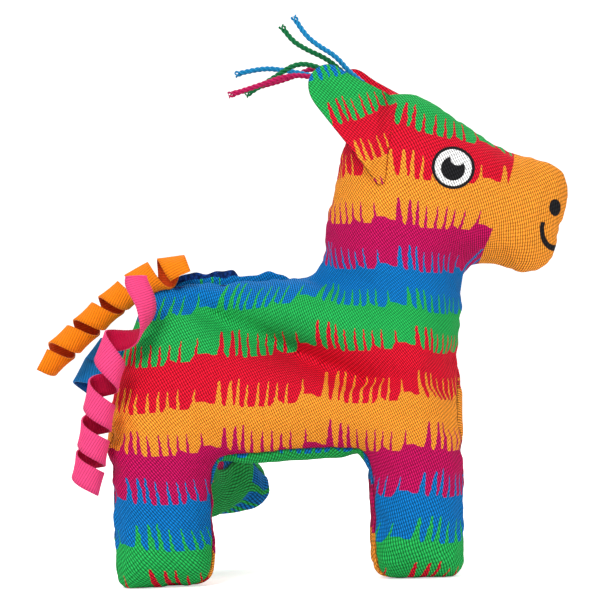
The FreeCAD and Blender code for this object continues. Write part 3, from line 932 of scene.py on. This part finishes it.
def make_ribbon_finish(name, outside, shaded_inside_colour):
    """Grosgrain: fine cross threads on each rib, with painted light on the rib crowns and painted shade
    between them; the inside of the curl is painted in shade, as a darker copy of the ribbon's colour.
    """
    material, n, shader = fabric_material(name, 0.6, 0.05)
    along, across, _ = n.split(n.uv("ribbon"))
    threads = n.math("ABSOLUTE", n.math("SINE", n.math("MULTIPLY", across, math.pi / 0.28)))
    rib = n.math("ABSOLUTE", n.math("COSINE", n.math("MULTIPLY", along, math.pi / RIB)))
    fibre = n.noise(n.uv("ribbon"), 2.2, 2.0)
    side = n.add("ShaderNodeAttribute", attribute_name="inner").outputs["Fac"]
    # painted shade: faces on the inner side of the curl take the darker copy of the colour
    colour = n.mix(side, outside, shaded_inside_colour)
    # painted light and shade: rib crowns lighter, the grooves between ribs darker; the fibre noise adds
    # random tone
    light = n.math("ADD", 0.58, n.math("ADD", n.math("MULTIPLY", rib, 0.42), n.math("MULTIPLY", fibre, 0.16)))
    n.feed(shader.inputs["Base Color"], n.tint(colour, light))
    n.feed(shader.inputs["Roughness"], n.span(fibre, 0.3, 0.7, 0.5, 0.7))
    bump(n, shader, n.math("ADD", rib, n.math("MULTIPLY", threads, 0.25)), 0.5, 0.00015)
    return material


def make_cord_finish(name, colour):
    """Waxed cotton: fine fibres laid along each strand."""
    material, n, shader = fabric_material(name, 0.5, 0.05)
    place = n.uv("strand")
    stretched = n.add("ShaderNodeVectorMath", operation="MULTIPLY")
    n.feed(stretched.inputs[0], place)
    stretched.inputs[1].default_value = (1.2, 9.0, 1.0)
    fibre = n.noise(stretched.outputs[0], 1.0, 3.0)
    n.feed(shader.inputs["Base Color"], n.tint(colour, n.span(fibre, 0.25, 0.75, 0.6, 1.35)))
    n.feed(shader.inputs["Roughness"], n.span(fibre, 0.3, 0.7, 0.42, 0.65))
    bump(n, shader, fibre, 0.5, 0.00012)
    return material


def make_tape_finish(name, colour, pitch):
    """Hook-and-loop tape: rows of stiff hooks, or a felt of loops."""
    material, n, shader = fabric_material(name, 0.75, 0.05)
    cloth = n.uv("cloth")
    cell = n.add("ShaderNodeTexVoronoi")
    n.feed(cell.inputs["Vector"], cloth)
    cell.inputs["Scale"].default_value = 1.0 / pitch
    spot = cell.outputs["Distance"]
    # painted light and shade: brighter at the middle of each tuft, where the bump raises it, and darker
    # between the tufts
    n.feed(shader.inputs["Base Color"], n.tint(colour, n.span(spot, 0.0, 0.7, 1.7, 0.35)))
    n.feed(shader.inputs["Roughness"], n.span(spot, 0.0, 0.7, 0.5, 0.85))
    bump(n, shader, n.math("SUBTRACT", 1.0, spot), 0.9, 0.0004)
    return material


def make_lining(weave):
    material, n, shader = fabric_material("pocket_lining", 0.55, 0.05)
    woven = place_group(n, weave, Cloth=n.uv("cloth"), Pitch=0.35)
    # the weave's Light paints light on the satin's thread crowns and shade between the threads
    n.feed(shader.inputs["Base Color"], n.tint((0.005, 0.05, 0.27, 1), woven.outputs["Light"]))
    n.feed(shader.inputs["Roughness"], n.span(woven.outputs["Height"], 0, 1, 0.7, 0.45))
    bump(n, shader, woven.outputs["Height"], 0.4, 0.0001)
    return material


# ---- splitting the skin into pieces -------------------------------------------------------------
def in_quarter(point, end, side):
    return (point.x < -4 if end == "hind" else point.x > -4) and point.y * side > 0


def cut_by(bm, place, way, chosen):
    """Cut only the chosen faces by a plane."""
    faces = [face for face in bm.faces if chosen(face.calc_center_median())]
    edges = {edge for face in faces for edge in face.edges}
    verts = {vert for face in faces for vert in face.verts}
    bmesh.ops.bisect_plane(bm, geom=list(verts) + list(edges) + faces, dist=0.05, plane_co=place,
                           plane_no=way)


def part_off(bm, name, chosen):
    """Take the chosen faces off into a piece of their own."""
    apart = bm.copy()
    keep = [chosen(face.calc_center_median()) for face in apart.faces]
    bmesh.ops.delete(apart, geom=[f for f, kept in zip(apart.faces[:], keep) if not kept], context="FACES")
    bmesh.ops.delete(bm, geom=[f for f, kept in zip(bm.faces[:], keep) if kept], context="FACES")
    return from_bmesh(name, apart)


def beyond(place, way):
    return lambda point: (point - place).dot(way) > 0


LIP_LOW = Vector((0, 0, LIP_Z))
UP = Vector((0, 0, 1))


def in_lip(point):
    return MOUTH_X[0] < point.x < MOUTH_X[1] and point.z > LIP_Z - 0.5


def open_mouth(bm):
    """Slit the ridge of the back open, with a straight cut near the middle of each lip's hem."""
    for side in (-1, 1):
        cut_by(bm, Vector((0, MOUTH_HALF * side, 0)), Vector((0, 1, 0)), in_lip)
    slit = [face for face in bm.faces if in_lip(face.calc_center_median())
            and abs(face.calc_center_median().y) < MOUTH_HALF and face.calc_center_median().z > 76]
    bmesh.ops.delete(bm, geom=slit, context="FACES")


def split_skin(skin):
    bm = bmesh.new()
    bm.from_mesh(skin.data)
    for x in MOUTH_X:
        cut_by(bm, Vector((x, 0, 0)), Vector((1, 0, 0)),
               lambda p: p.z > LIP_Z - 4 and p.x < 4 and abs(p.x - x) < 4)
    cut_by(bm, LIP_LOW, UP, lambda p: MOUTH_X[0] < p.x < MOUTH_X[1] and abs(p.z - LIP_Z) < 4)
    open_mouth(bm)
    for end, side, _ in LEGS:
        place, way = leg_bend(end, side)
        cut_by(bm, place, way, lambda p: in_quarter(p, end, side) and p.z < 60)
    cut_by(bm, *HEAD_PLANE, lambda p: p.z > 50)
    pieces = {"head": part_off(bm, "head_skin", lambda p: beyond(*HEAD_PLANE)(p) and p.z > 50)}
    for end, side, word in LEGS:
        bend = beyond(*leg_bend(end, side))
        name = word + "_" + end + "_leg"
        pieces[name] = part_off(bm, name + "_skin",
                                lambda p: bend(p) and in_quarter(p, end, side) and p.z < 60)
    for side, word in SIDES:
        name = word + "_lip"
        pieces[name] = part_off(bm, name + "_canvas",
                                lambda p: MOUTH_X[0] < p.x < MOUTH_X[1] and p.z > LIP_Z and p.y * side > 0)
    pieces["torso"] = from_bmesh("torso_skin", bm)
    bpy.data.objects.remove(skin)
    return pieces


SKIN_NODES = {
    "torso": ["right_flank_panel", "left_flank_panel", "belly_gusset", "torso_stuffing"],
    "head": ["right_head_panel", "left_head_panel", "head_stuffing"],
}


def settle(piece, body, slot, material, *nodes, bend=None, padded=None):
    """Move a finished piece into the frame and give it its finish; hang it on its body, unless a bend is
    given.
    """
    piece.data.transform(TO_FRAME)
    shade_smooth(piece.data)
    piece.data.materials.clear()
    piece.data.materials.append(material)
    if bend:
        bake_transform(piece)
    else:
        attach(piece, body)
    if nodes:
        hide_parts(*nodes)
    return piece


def keep_shading(pieces, skin_mesh):
    """Give every part the shading of the whole skin, so that no line shows where it was cut."""
    normals = normals_of(skin_mesh)
    tree = search_tree(points_of(skin_mesh))
    for piece in pieces:
        wanted = []
        for vertex in piece.data.vertices:
            near = tree.find_n(vertex.co, 3)
            total = sum((Vector(normals[i]) / (0.05 + far) for _, i, far in near), Vector())
            wanted.append(total.normalized())
        piece.data.normals_split_custom_set_from_vertices(wanted)


def dress_skin(canvas):
    skin = body_skin()
    whole = skin.data.copy()
    pieces = split_skin(skin)
    for piece in pieces.values():
        shade_smooth(piece.data)
    keep_shading([piece for name, piece in pieces.items() if "lip" not in name], whole)
    bpy.data.meshes.remove(whole)
    close_mouth_ends(pieces["torso"])
    settle(pieces["torso"], "torso", "printed_canvas", canvas, *SKIN_NODES["torso"], padded=0.7)
    start, way = HEAD_PLANE
    settle(pieces["head"], ("torso", "head"), "printed_canvas", canvas, *SKIN_NODES["head"],
           bend=(start, start + way * HEAD_BEND), padded=0.8)
    for end, side, word in LEGS:
        start, way = leg_bend(end, side)
        name = word + "_" + end + "_leg"
        nodes = [name + "_" + part for part in ("outer_panel", "inner_panel", "stuffing")]
        settle(pieces[name], ("torso", name), "printed_canvas", canvas, *nodes,
               bend=(start, start + way * BEND_LENGTH), padded=0.6)
    return pieces


# ---- ears ---------------------------------------------------------------------------------------
EAR_LINE = [
    (22.8, 106.0), (19.4, 110.6), (14.5, 117.2), (9.6, 123.9), (5.9, 129.2), (4.9, 132.7), (5.6, 135.6),
    (8.2, 137.8), (11.2, 137.8), (16.0, 134.8), (21.5, 131.8), (27.3, 128.4), (26.8, 125.4),
    (25.3, 119.0), (24.2, 114.0),
]
EAR_ROOT = [(22.8, 105.6), (24.4, 112.0), (25.8, 119.0), (27.5, 128.6)]
EAR_HALF = 2.1


def make_ear(word, side, canvas):
    """Padded leaf of two panels, its front edge sewn to the side of the head."""
    lean = 0.0 if side < 0 else 0.22
    line = [(x + lean * (z - 106), z) for x, z in EAR_LINE]
    root = [(x, z) for x, z in EAR_ROOT]
    smooth = spread(curved(line, 4), 0.7)
    ear = slab("ear", smooth, EAR_HALF, 0.7)
    mesh = ear.data
    points = points_of(mesh)
    flat = points[:, [0, 2]].copy()
    distance = distance_to_line(flat, smooth + smooth[:1])
    points[:, 1] *= plump(distance, 4.5)
    to_root = distance_to_line(flat, root)
    front = points[:, 1] * side
    out = 17.8 + EAR_HALF - 0.384 * (flat[:, 1] - 106.5) + 0.176 * (22.5 - flat[:, 0])
    cup = 1.6 * smoothstep(to_root, 1, 9) * (1 - smoothstep(distance, 0, 7))
    line_points = curved(BODY_LINE, LINE_STEPS)
    inset = plump(distance_to_line(flat, [point for point in line_points if point.y > 84]), 16.0)
    cheek = body_half_thickness(flat[:, 0], flat[:, 1]) * inset + 1.3
    sewn = 1 - smoothstep(to_root, 0.0, 4.5)
    middle = out + cup + (cheek - out - cup) * sewn
    points[:, 1] = side * (middle + front)
    move_points(mesh, points)
    with edited(mesh) as bm:
        even_out(bm, 2)
    corners = corner_vertices(mesh)
    place = points_of(mesh)[corners]
    add_ear_print(mesh, place, (front > 0)[corners], lean)
    lay_uv(mesh, "face", np.tile((0.0, -1.0), (len(place), 1)))
    # the finish darkens the ear close to its rim seam: the stitch line, and painted shade in the rim's crease
    rim = np.hypot(distance, np.abs(front) * 0.6) + 0.3
    mark(mesh, "seam", np.minimum(rim, 3))
    name = word + "_ear"
    ear.name = name + "_skin"
    return settle(ear, name, "printed_canvas", canvas, name + "_back_panel", name + "_front_panel",
                  padded=0.5)


def add_ear_print(mesh, place, facing_out, lean):
    """The ears are cut from the same cloth, turned so that the rows run across them."""
    turn = math.radians(-22 + 10 * (lean > 0))
    x, z = place[:, 0] - 16, place[:, 2] - 120
    across = x * math.cos(turn) - z * math.sin(turn)
    up = x * math.sin(turn) + z * math.cos(turn)
    lay_uv(mesh, "cloth", np.stack([across, up], 1))
    rows_front = (1.0 if lean else 0.0) - (up - 5.5) / np.where(up > 5.5, 13.4, 11.6)
    rows_back = 0.9 - (up - 2.0) / 25 if lean else 4.2 - (up - 5.0) / 13.5
    v = np.where(facing_out, rows_front, rows_back)
    u = across / 24.0 + 0.18
    lay_uv(mesh, "print", np.stack([u, v], 1))


# ---- curled ribbons -----------------------------------------------------------------------------
def spline_points(name, route, per_run=24):
    """Points along the smooth line that a route's points control, read from its own spline."""
    curve = bpy.data.curves.new(name, "CURVE")
    curve.dimensions = "3D"
    curve.resolution_u = per_run
    spline = curve.splines.new("NURBS")
    spline.points.add(len(route) - 1)
    for point, place in zip(spline.points, route):
        point.co = (*place, 1)
    spline.order_u = 3
    spline.use_endpoint_u = True
    holder = link(name, curve)
    mesh = bpy.data.meshes.new_from_object(holder.evaluated_get(bpy.context.evaluated_depsgraph_get()))
    points = [vertex.co.copy() for vertex in mesh.vertices]
    bpy.data.meshes.remove(mesh)
    bpy.data.objects.remove(holder)
    bpy.data.curves.remove(curve)
    return points


def even_points(points, count):
    """The same line at evenly spaced places, with its length."""
    steps = [0.0]
    for a, b in zip(points, points[1:]):
        steps.append(steps[-1] + (b - a).length)
    places = np.linspace(0, steps[-1], count)
    grid = np.array(points)
    even = np.stack([np.interp(places, steps, grid[:, i]) for i in range(3)], 1)
    return [Vector(point) for point in even], steps[-1]


def steady_axes(points):
    """Direction and two cross directions at each point, turning as little as they can."""
    axes = []
    side = None
    for i in range(len(points)):
        ahead = (points[min(i + 1, len(points) - 1)] - points[max(i - 1, 0)]).normalized()
        if side is None:
            side = ahead.cross(Vector((0, 1, 0))).normalized()
        side = (side - ahead * side.dot(ahead)).normalized()
        axes.append((ahead, side, ahead.cross(side)))
    return axes


def along_line(line, axes, length, distance):
    """Place and axes at a distance along an even line, carried straight on past its ends."""
    spot = distance / length * (len(line) - 1)
    i = int(min(max(spot, 0), len(line) - 2))
    ahead, side, up = axes[i]
    centre = line[i].lerp(line[i + 1], min(max(spot - i, 0), 1))
    past = max(distance - length, 0) + min(distance, 0)
    return centre + ahead * past, side, up


def make_ribbon(colour, route, turns, radius, phase, way, slow_start, material, bend=None):
    """Flat ribbon wound round its route, with a real rib across it every RIB."""
    line, length = even_points(spline_points("route", route), 200)
    axes = steady_axes(line)
    shares = np.linspace(0, 1, 400)
    sweep = 2 * math.pi * turns * slow_start * np.maximum(shares, 1e-3) ** (slow_start - 1)
    wrap = np.array([radius(t) for t in shares]) * sweep
    slant = np.hypot(length, wrap)
    reached = np.concatenate([[0], np.cumsum((slant[1:] + slant[:-1]) / 2 * np.diff(shares))])
    cut_length = reached[-1]
    bm = bmesh.new()
    bmesh.ops.create_grid(bm, x_segments=int(cut_length / RIB * 4), y_segments=4, size=0.5)
    cloth = bm.loops.layers.uv.new("ribbon")
    for face in bm.faces:
        for loop in face.loops:
            loop[cloth].uv = ((loop.vert.co.x + 0.5) * cut_length, loop.vert.co.y * RIBBON_WIDTH)
    for vert in bm.verts:
        cut, s = (vert.co.x + 0.5) * cut_length, vert.co.y
        t = float(np.interp(cut, reached, shares))
        leaning = float(np.interp(cut, reached, slant))
        turning = float(np.interp(cut, reached, wrap))
        across = s * RIBBON_WIDTH
        centre, side, up = along_line(line, axes, length, 3 + t * (length - 6) + across * turning / leaning)
        around = 2 * math.pi * turns * t ** slow_start - across * length / leaning / radius(t)
        angle = phase + way * around
        reach = radius(t) + 0.07 * math.cos(2 * math.pi * cut / RIB) + 0.9 * s * s
        vert.co = centre + (side * math.cos(angle) + up * math.sin(angle)) * reach
    piece = from_bmesh(colour + "_grosgrain_curl", bm)
    mesh = piece.data
    outward = 0.0
    for polygon in mesh.polygons:
        middle = Vector(polygon.center)
        nearest = min(line[::5], key=lambda place: (place - middle).length)
        outward += (middle - nearest).dot(polygon.normal)
    if outward < 0:
        mesh.flip_normals()
    faces = len(mesh.polygons)
    thicken(piece, 0.45)
    # faces on the inner side of the curl, which the finish paints in shade
    inner = np.zeros(len(piece.data.polygons))
    inner[faces:2 * faces] = 1
    mark(piece.data, "inner", inner, "FACE")
    body = colour + "_ribbon"
    settle(piece, ("torso", body) if bend else body, "ribbon_" + colour, material, "tail_ribbon_" + colour,
           bend=bend)
    return piece


# ---- crown cords --------------------------------------------------------------------------------
CROWN = Vector((25.2, 0.0, 129.5))  # where the cords are sewn in
CROWN_CORDS = {
    "blue_upper": [(-0.2, -0.9, -2.0), (-4.6, -1.3, 3.5), (-9.7, -1.6, 7.7), (-13.0, -1.4, 12.1),
                   (-18.0, -0.9, 15.3), (-21.7, -0.6, 18.7), (-24.2, 0.0, 23.5)],
    "green_upper": [(-1.8, 0.9, -2.0), (-6.2, 1.2, 3.1), (-11.0, 1.4, 7.5), (-15.4, 1.6, 11.7),
                    (-21.2, 2.0, 14.5), (-25.4, 2.4, 17.5), (-27.6, 3.0, 21.3)],
    "green_lower": [(-1.8, -2.7, -2.0), (-7.0, -2.9, 2.5), (-12.6, -3.2, 6.1), (-18.0, -3.6, 9.3),
                    (-23.8, -3.8, 10.5), (-30.0, -3.4, 6.7), (-38.0, -3.0, 2.2)],
    "blue_lower": [(-0.2, 2.7, -2.0), (-6.4, 2.9, 2.1), (-13.0, 3.0, 5.1), (-19.6, 3.4, 7.3),
                   (-26.8, 4.0, 9.1), (-33.8, 4.6, 10.1), (-40.8, 5.4, 8.5)],
    "crimson_upper": [(-2.8, 4.4, -3.0), (-7.4, 4.6, 3.5), (-12.6, 5.0, 8.3), (-19.0, 5.4, 9.9),
                      (-25.4, 5.8, 7.1), (-33.6, 6.2, 5.1), (-41.8, 6.6, 3.3)],
    "crimson_lower": [(-2.8, -4.5, -3.0), (-8.0, -4.7, 1.3), (-13.8, -5.0, 4.1), (-19.6, -5.4, 6.5),
                      (-26.2, -5.8, 7.1), (-33.6, -6.2, 4.7), (-42.6, -6.6, 2.1)],
}
STRANDS = 3
TWIST = 4.2                        # length of one turn of the strands


def make_cord(name, route, material):
    """Three strands twisted round the route's smooth line, opening a little at the cut end."""
    line, length = even_points(spline_points("route", [CROWN + Vector(place) for place in route]), 150)
    axes = steady_axes(line)
    thick = CORD_DIAMETER / 3.6
    bm = bmesh.new()
    strand_uv = bm.loops.layers.uv.new("strand")
    for strand in range(STRANDS):
        made = bmesh.ops.create_grid(bm, x_segments=149, y_segments=8, size=0.5)["verts"]
        for face in {face for vert in made for face in vert.link_faces}:
            for loop in face.loops:
                loop[strand_uv].uv = ((loop.vert.co.x + 0.5) * length, loop.vert.co.y + strand)
        for vert in made:
            t, around = vert.co.x + 0.5, 2 * math.pi * (vert.co.y + 0.5)
            i = min(round(t * 149), 149)
            ahead, side, up = axes[i]
            angle = 2 * math.pi * (strand / STRANDS + t * length / TWIST)
            fray = smoothstep(t * length, length - 2.4, length)
            out = side * math.cos(angle) + up * math.sin(angle)
            across = ahead.cross(out)
            middle = line[i] + out * thick * 0.98 * (1 + 0.9 * fray)
            vert.co = middle + (out * math.cos(around) + across * math.sin(around)) * thick * (1 - 0.2 * fray)
    bmesh.ops.remove_doubles(bm, verts=bm.verts, dist=0.001)
    bmesh.ops.holes_fill(bm, edges=[edge for edge in bm.edges if edge.is_boundary], sides=12)
    bmesh.ops.recalc_face_normals(bm, faces=bm.faces)
    piece = from_bmesh(name + "_cord_strands", bm)
    settle(piece, "head", "cord_" + name.split("_")[0], material, "crown_cord_" + name)


# ---- pocket mouth -------------------------------------------------------------------------------
def raise_left_lip(point):
    """The left lip stands higher than the right one, with a wavy top edge."""
    share = smoothstep(point.z, 74, 80.5)
    middle = smoothstep(point.x, -36, -28) * (1 - smoothstep(point.x, -5, 0))
    wave = 0.35 * math.sin(point.x * 0.55) + 0.2 * math.sin(point.x * 1.3)
    point.z += share * middle * (1.6 + wave)


def turn_in_lip(piece, side):
    """Fold the canvas over the lip's top edge and down inside the mouth."""
    bm = bmesh.new()
    bm.from_mesh(piece.data)
    if side > 0:
        for vert in bm.verts:
            raise_left_lip(vert.co)
    cloth, print_at, face_at = (bm.loops.layers.uv[name] for name in ("cloth", "print", "face"))
    edges = [edge for edge in bm.edges if edge.is_boundary and all(abs(abs(v.co.y) - MOUTH_HALF) < 0.3
             and v.co.z > 77 for v in edge.verts)]
    top = {}
    for inward, fall in ((0.25, 0.1), (0.45, 0.7), (0.45, 3.0), (0.45, 6.0), (0.45, 9.0)):
        grown = bmesh.ops.extrude_edge_only(bm, edges=edges)["geom"]
        edges = [item for item in grown if isinstance(item, bmesh.types.BMEdge)
                 and item.is_boundary and len({v for v in item.verts if v.link_faces}) == 2
                 and all(v in grown for v in item.verts)]
        verts = [item for item in grown if isinstance(item, bmesh.types.BMVert)]
        faces = [item for item in grown if isinstance(item, bmesh.types.BMFace)]
        for vert in verts:
            above = next(e.other_vert(vert) for e in vert.link_edges if e.other_vert(vert) not in verts)
            top[vert] = top.get(above, above.co.z)
            vert.co.y = side * (MOUTH_HALF - inward)
            vert.co.z = max(top[vert] - fall, LIP_Z - 0.4)
        for face in faces:
            for loop in face.loops:
                place = loop.vert.co
                loop[cloth].uv = (place.x, place.z)
                loop[print_at].uv = (place.x / MOTIF, 3.66)
                loop[face_at].uv = (0.0, 0.0)
        edges = [edge for edge in edges if all(vert in verts for vert in edge.verts)]
    bm.to_mesh(piece.data)
    bm.free()


def close_mouth_ends(piece):
    """Turn the canvas down at the two ends of the slit."""
    bm = bmesh.new()
    bm.from_mesh(piece.data)
    cloth, print_at, face_at = (bm.loops.layers.uv[name] for name in ("cloth", "print", "face"))
    for x in MOUTH_X:
        edges = [edge for edge in bm.edges if edge.is_boundary
                 and all(abs(v.co.x - x) < 0.1 and abs(v.co.y) < MOUTH_HALF + 0.1 and v.co.z > 77
                         for v in edge.verts)]
        grown = bmesh.ops.extrude_edge_only(bm, edges=edges)["geom"]
        for item in grown:
            if isinstance(item, bmesh.types.BMVert):
                item.co.z = LIP_Z
        for face in (item for item in grown if isinstance(item, bmesh.types.BMFace)):
            for loop in face.loops:
                loop[cloth].uv = (loop.vert.co.y, loop.vert.co.z)
                loop[print_at].uv = (loop.vert.co.y / MOTIF, 3.66)
                loop[face_at].uv = (0.0, 0.0)
    bm.to_mesh(piece.data)
    bm.free()


def make_lip(piece, side, word, canvas):
    turn_in_lip(piece, side)
    start = Vector((-18, 9 * side, LIP_Z - 0.5))
    return settle(piece, ("torso", word + "_lip"), "printed_canvas", canvas, word + "_lip_facing",
                  bend=(start, start + UP * 3.5))


def toy_box(node):
    """A CAD node's box in the toy's own axes."""
    low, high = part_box(node)
    back = TO_FRAME.inverted()
    return back @ low, back @ high


def make_tape(node, side, body, slot, material, hooked):
    """Strip of tape sewn inside a lip, its face rough with rows of hooks or a nap of loops."""
    low, high = toy_box(node)
    low.x += 3.0
    low.z = LIP_Z + 1.6
    length, height = high.x - low.x - 6.0, 6.5
    bm = bmesh.new()
    bmesh.ops.create_grid(bm, x_segments=int(length / 0.36), y_segments=int(height / 0.36), size=0.5)
    cloth = bm.loops.layers.uv.new("cloth")
    inner = min(abs(low.y), abs(high.y))
    for face in bm.faces:
        for loop in face.loops:
            loop[cloth].uv = (loop.vert.co.x * length, loop.vert.co.y * height)
    for vert in bm.verts:
        x = low.x + 0.5 + (vert.co.x + 0.5) * length
        z = low.z + 0.3 + (vert.co.y + 0.5) * height
        rim = min(0.5 - abs(vert.co.x), 0.5 - abs(vert.co.y)) * min(length, height)
        rough = abs(noise.noise(Vector((x, z, side)) * (1.9 if hooked else 1.1)))
        vert.co = (x, side * (inner + 0.55 - (0.5 * rough + 0.1) * min(1, rim / 0.7)), z)
        if side > 0:
            raised = vert.co.copy()
            raise_left_lip(raised)
            tucked = smoothstep(x, -18, -14)
            vert.co.z += (raised.z - z) * (1 - tucked) + smoothstep(z, 74, 80) * (2.1 - 2.8 * tucked)
    bmesh.ops.recalc_face_normals(bm, faces=bm.faces)
    piece = from_bmesh(node.replace("tape", "strip"), bm)
    if piece.data.polygons[0].normal.y * side > 0:
        piece.data.flip_normals()
    thicken(piece, 0.5)
    return settle(piece, body, slot, material, node)


def make_pocket_lining(material):
    """Thin satin bag that hangs in the mouth, open at the top."""
    bm = bmesh.new()
    x0, x1 = MOUTH_X
    ring = bmesh.ops.create_grid(bm, x_segments=40, y_segments=6, size=0.5)["verts"]
    for vert in ring:
        vert.co = ((x0 + x1) / 2 + vert.co.x * (x1 - x0 - 0.6), vert.co.y * 5.4, 49.0)
    edges = [edge for edge in bm.edges if edge.is_boundary]
    for height in (50.0, 54.0, 58.0, 62.0, 66.0, 69.0, 71.0):
        grown = bmesh.ops.extrude_edge_only(bm, edges=edges)["geom"]
        verts = {item for item in grown if isinstance(item, bmesh.types.BMVert)}
        edges = [item for item in grown if isinstance(item, bmesh.types.BMEdge)
                 and all(vert in verts for vert in item.verts)]
        for vert in verts:
            vert.co.z = height
            if abs(vert.co.y) > 1:
                slack = noise.noise(Vector(vert.co) * 0.25)
                vert.co.y += 0.35 * math.copysign(1, vert.co.y) * slack
    bmesh.ops.recalc_face_normals(bm, faces=bm.faces)
    piece = from_bmesh("satin_pocket_bag", bm)
    mesh = piece.data
    layer = mesh.uv_layers.new(name="cloth")
    for loop in mesh.loops:
        place = mesh.vertices[loop.vertex_index].co
        layer.data[loop.index].uv = (place.x, place.z + place.y)
    thicken(piece, 0.4)
    return settle(piece, "torso", "pocket_lining", material, "pocket_lining")


# ---- the whole toy ------------------------------------------------------------------------------
make_camera()
make_studio()
CORD_COLOURS = {
    "blue": (0.01, 0.27, 0.56, 1), "green": (0.006, 0.20, 0.06, 1), "crimson": (0.55, 0.01, 0.11, 1),
}
cord_finishes = {name: make_cord_finish("cord_" + name, colour) for name, colour in CORD_COLOURS.items()}
for cord_name, cord_route in CROWN_CORDS.items():
    make_cord(cord_name, cord_route, cord_finishes[cord_name.split("_")[0]])

canvas_weave = make_weave()
canvas = make_canvas(canvas_weave, make_fringe_print())
skin_pieces = dress_skin(canvas)
make_lip(skin_pieces["right_lip"], -1, "right", canvas)
make_lip(skin_pieces["left_lip"], 1, "left", canvas)
make_tape("right_lip_hook_tape", -1, "right_lip", "hook_tape",
          make_tape_finish("hook_tape", (0.008, 0.05, 0.22, 1), 0.55), True)
make_tape("left_lip_loop_tape", 1, "left_lip", "loop_tape",
          make_tape_finish("loop_tape", (0.004, 0.045, 0.24, 1), 0.8), False)
make_pocket_lining(make_lining(canvas_weave))
make_ear("right", -1, canvas)
make_ear("left", 1, canvas)

# each ribbon finish takes the ribbon's colour and a darker copy of it that paints shade on the inside of the
# curl
make_ribbon("orange", [(-28.6, -5.0, 84.6), (-38.0, -3.4, 85.2), (-50.9, 2.0, 77.0), (-59.5, 2.6, 69.4),
                       (-72.0, 2.6, 58.8)],
            5.1, lambda t: 3.8 + 0.5 * math.sin(min(t, 0.3) / 0.3 * math.pi), 1.2, 1, 1.0,
            make_ribbon_finish("ribbon_orange", (1.0, 0.245, 0.002, 1), (0.75, 0.075, 0.004, 1)),
            bend=(Vector((-40.0, -2.0, 84.5)), Vector((-48.5, 1.0, 79.0))))
make_ribbon("pink", [(-41.0, -13.0, 83.4), (-43.0, -16.0, 76.4), (-47.3, -20.4, 69.8), (-51.0, -22.6, 61.6),
                     (-54.0, -22.2, 51.2), (-56.2, -20.2, 39.6), (-59.2, -18.6, 26.4)],
            4.3, lambda t: 4.0 + 2.2 * (1 - smoothstep(t, 0.05, 0.35)), 2.0, -1, 1.6,
            make_ribbon_finish("ribbon_pink", (0.93, 0.065, 0.235, 1), (0.68, 0.002, 0.065, 1)))
make_ribbon("blue", [(-50.0, 11.0, 66.0), (-57.4, 11.4, 59.4), (-60.8, 11.4, 50.0)],
            2.1, lambda t: 4.3, 0.0, 1, 1.0,
            make_ribbon_finish("ribbon_blue", (0.008, 0.22, 0.60, 1), (0.002, 0.09, 0.35, 1)))
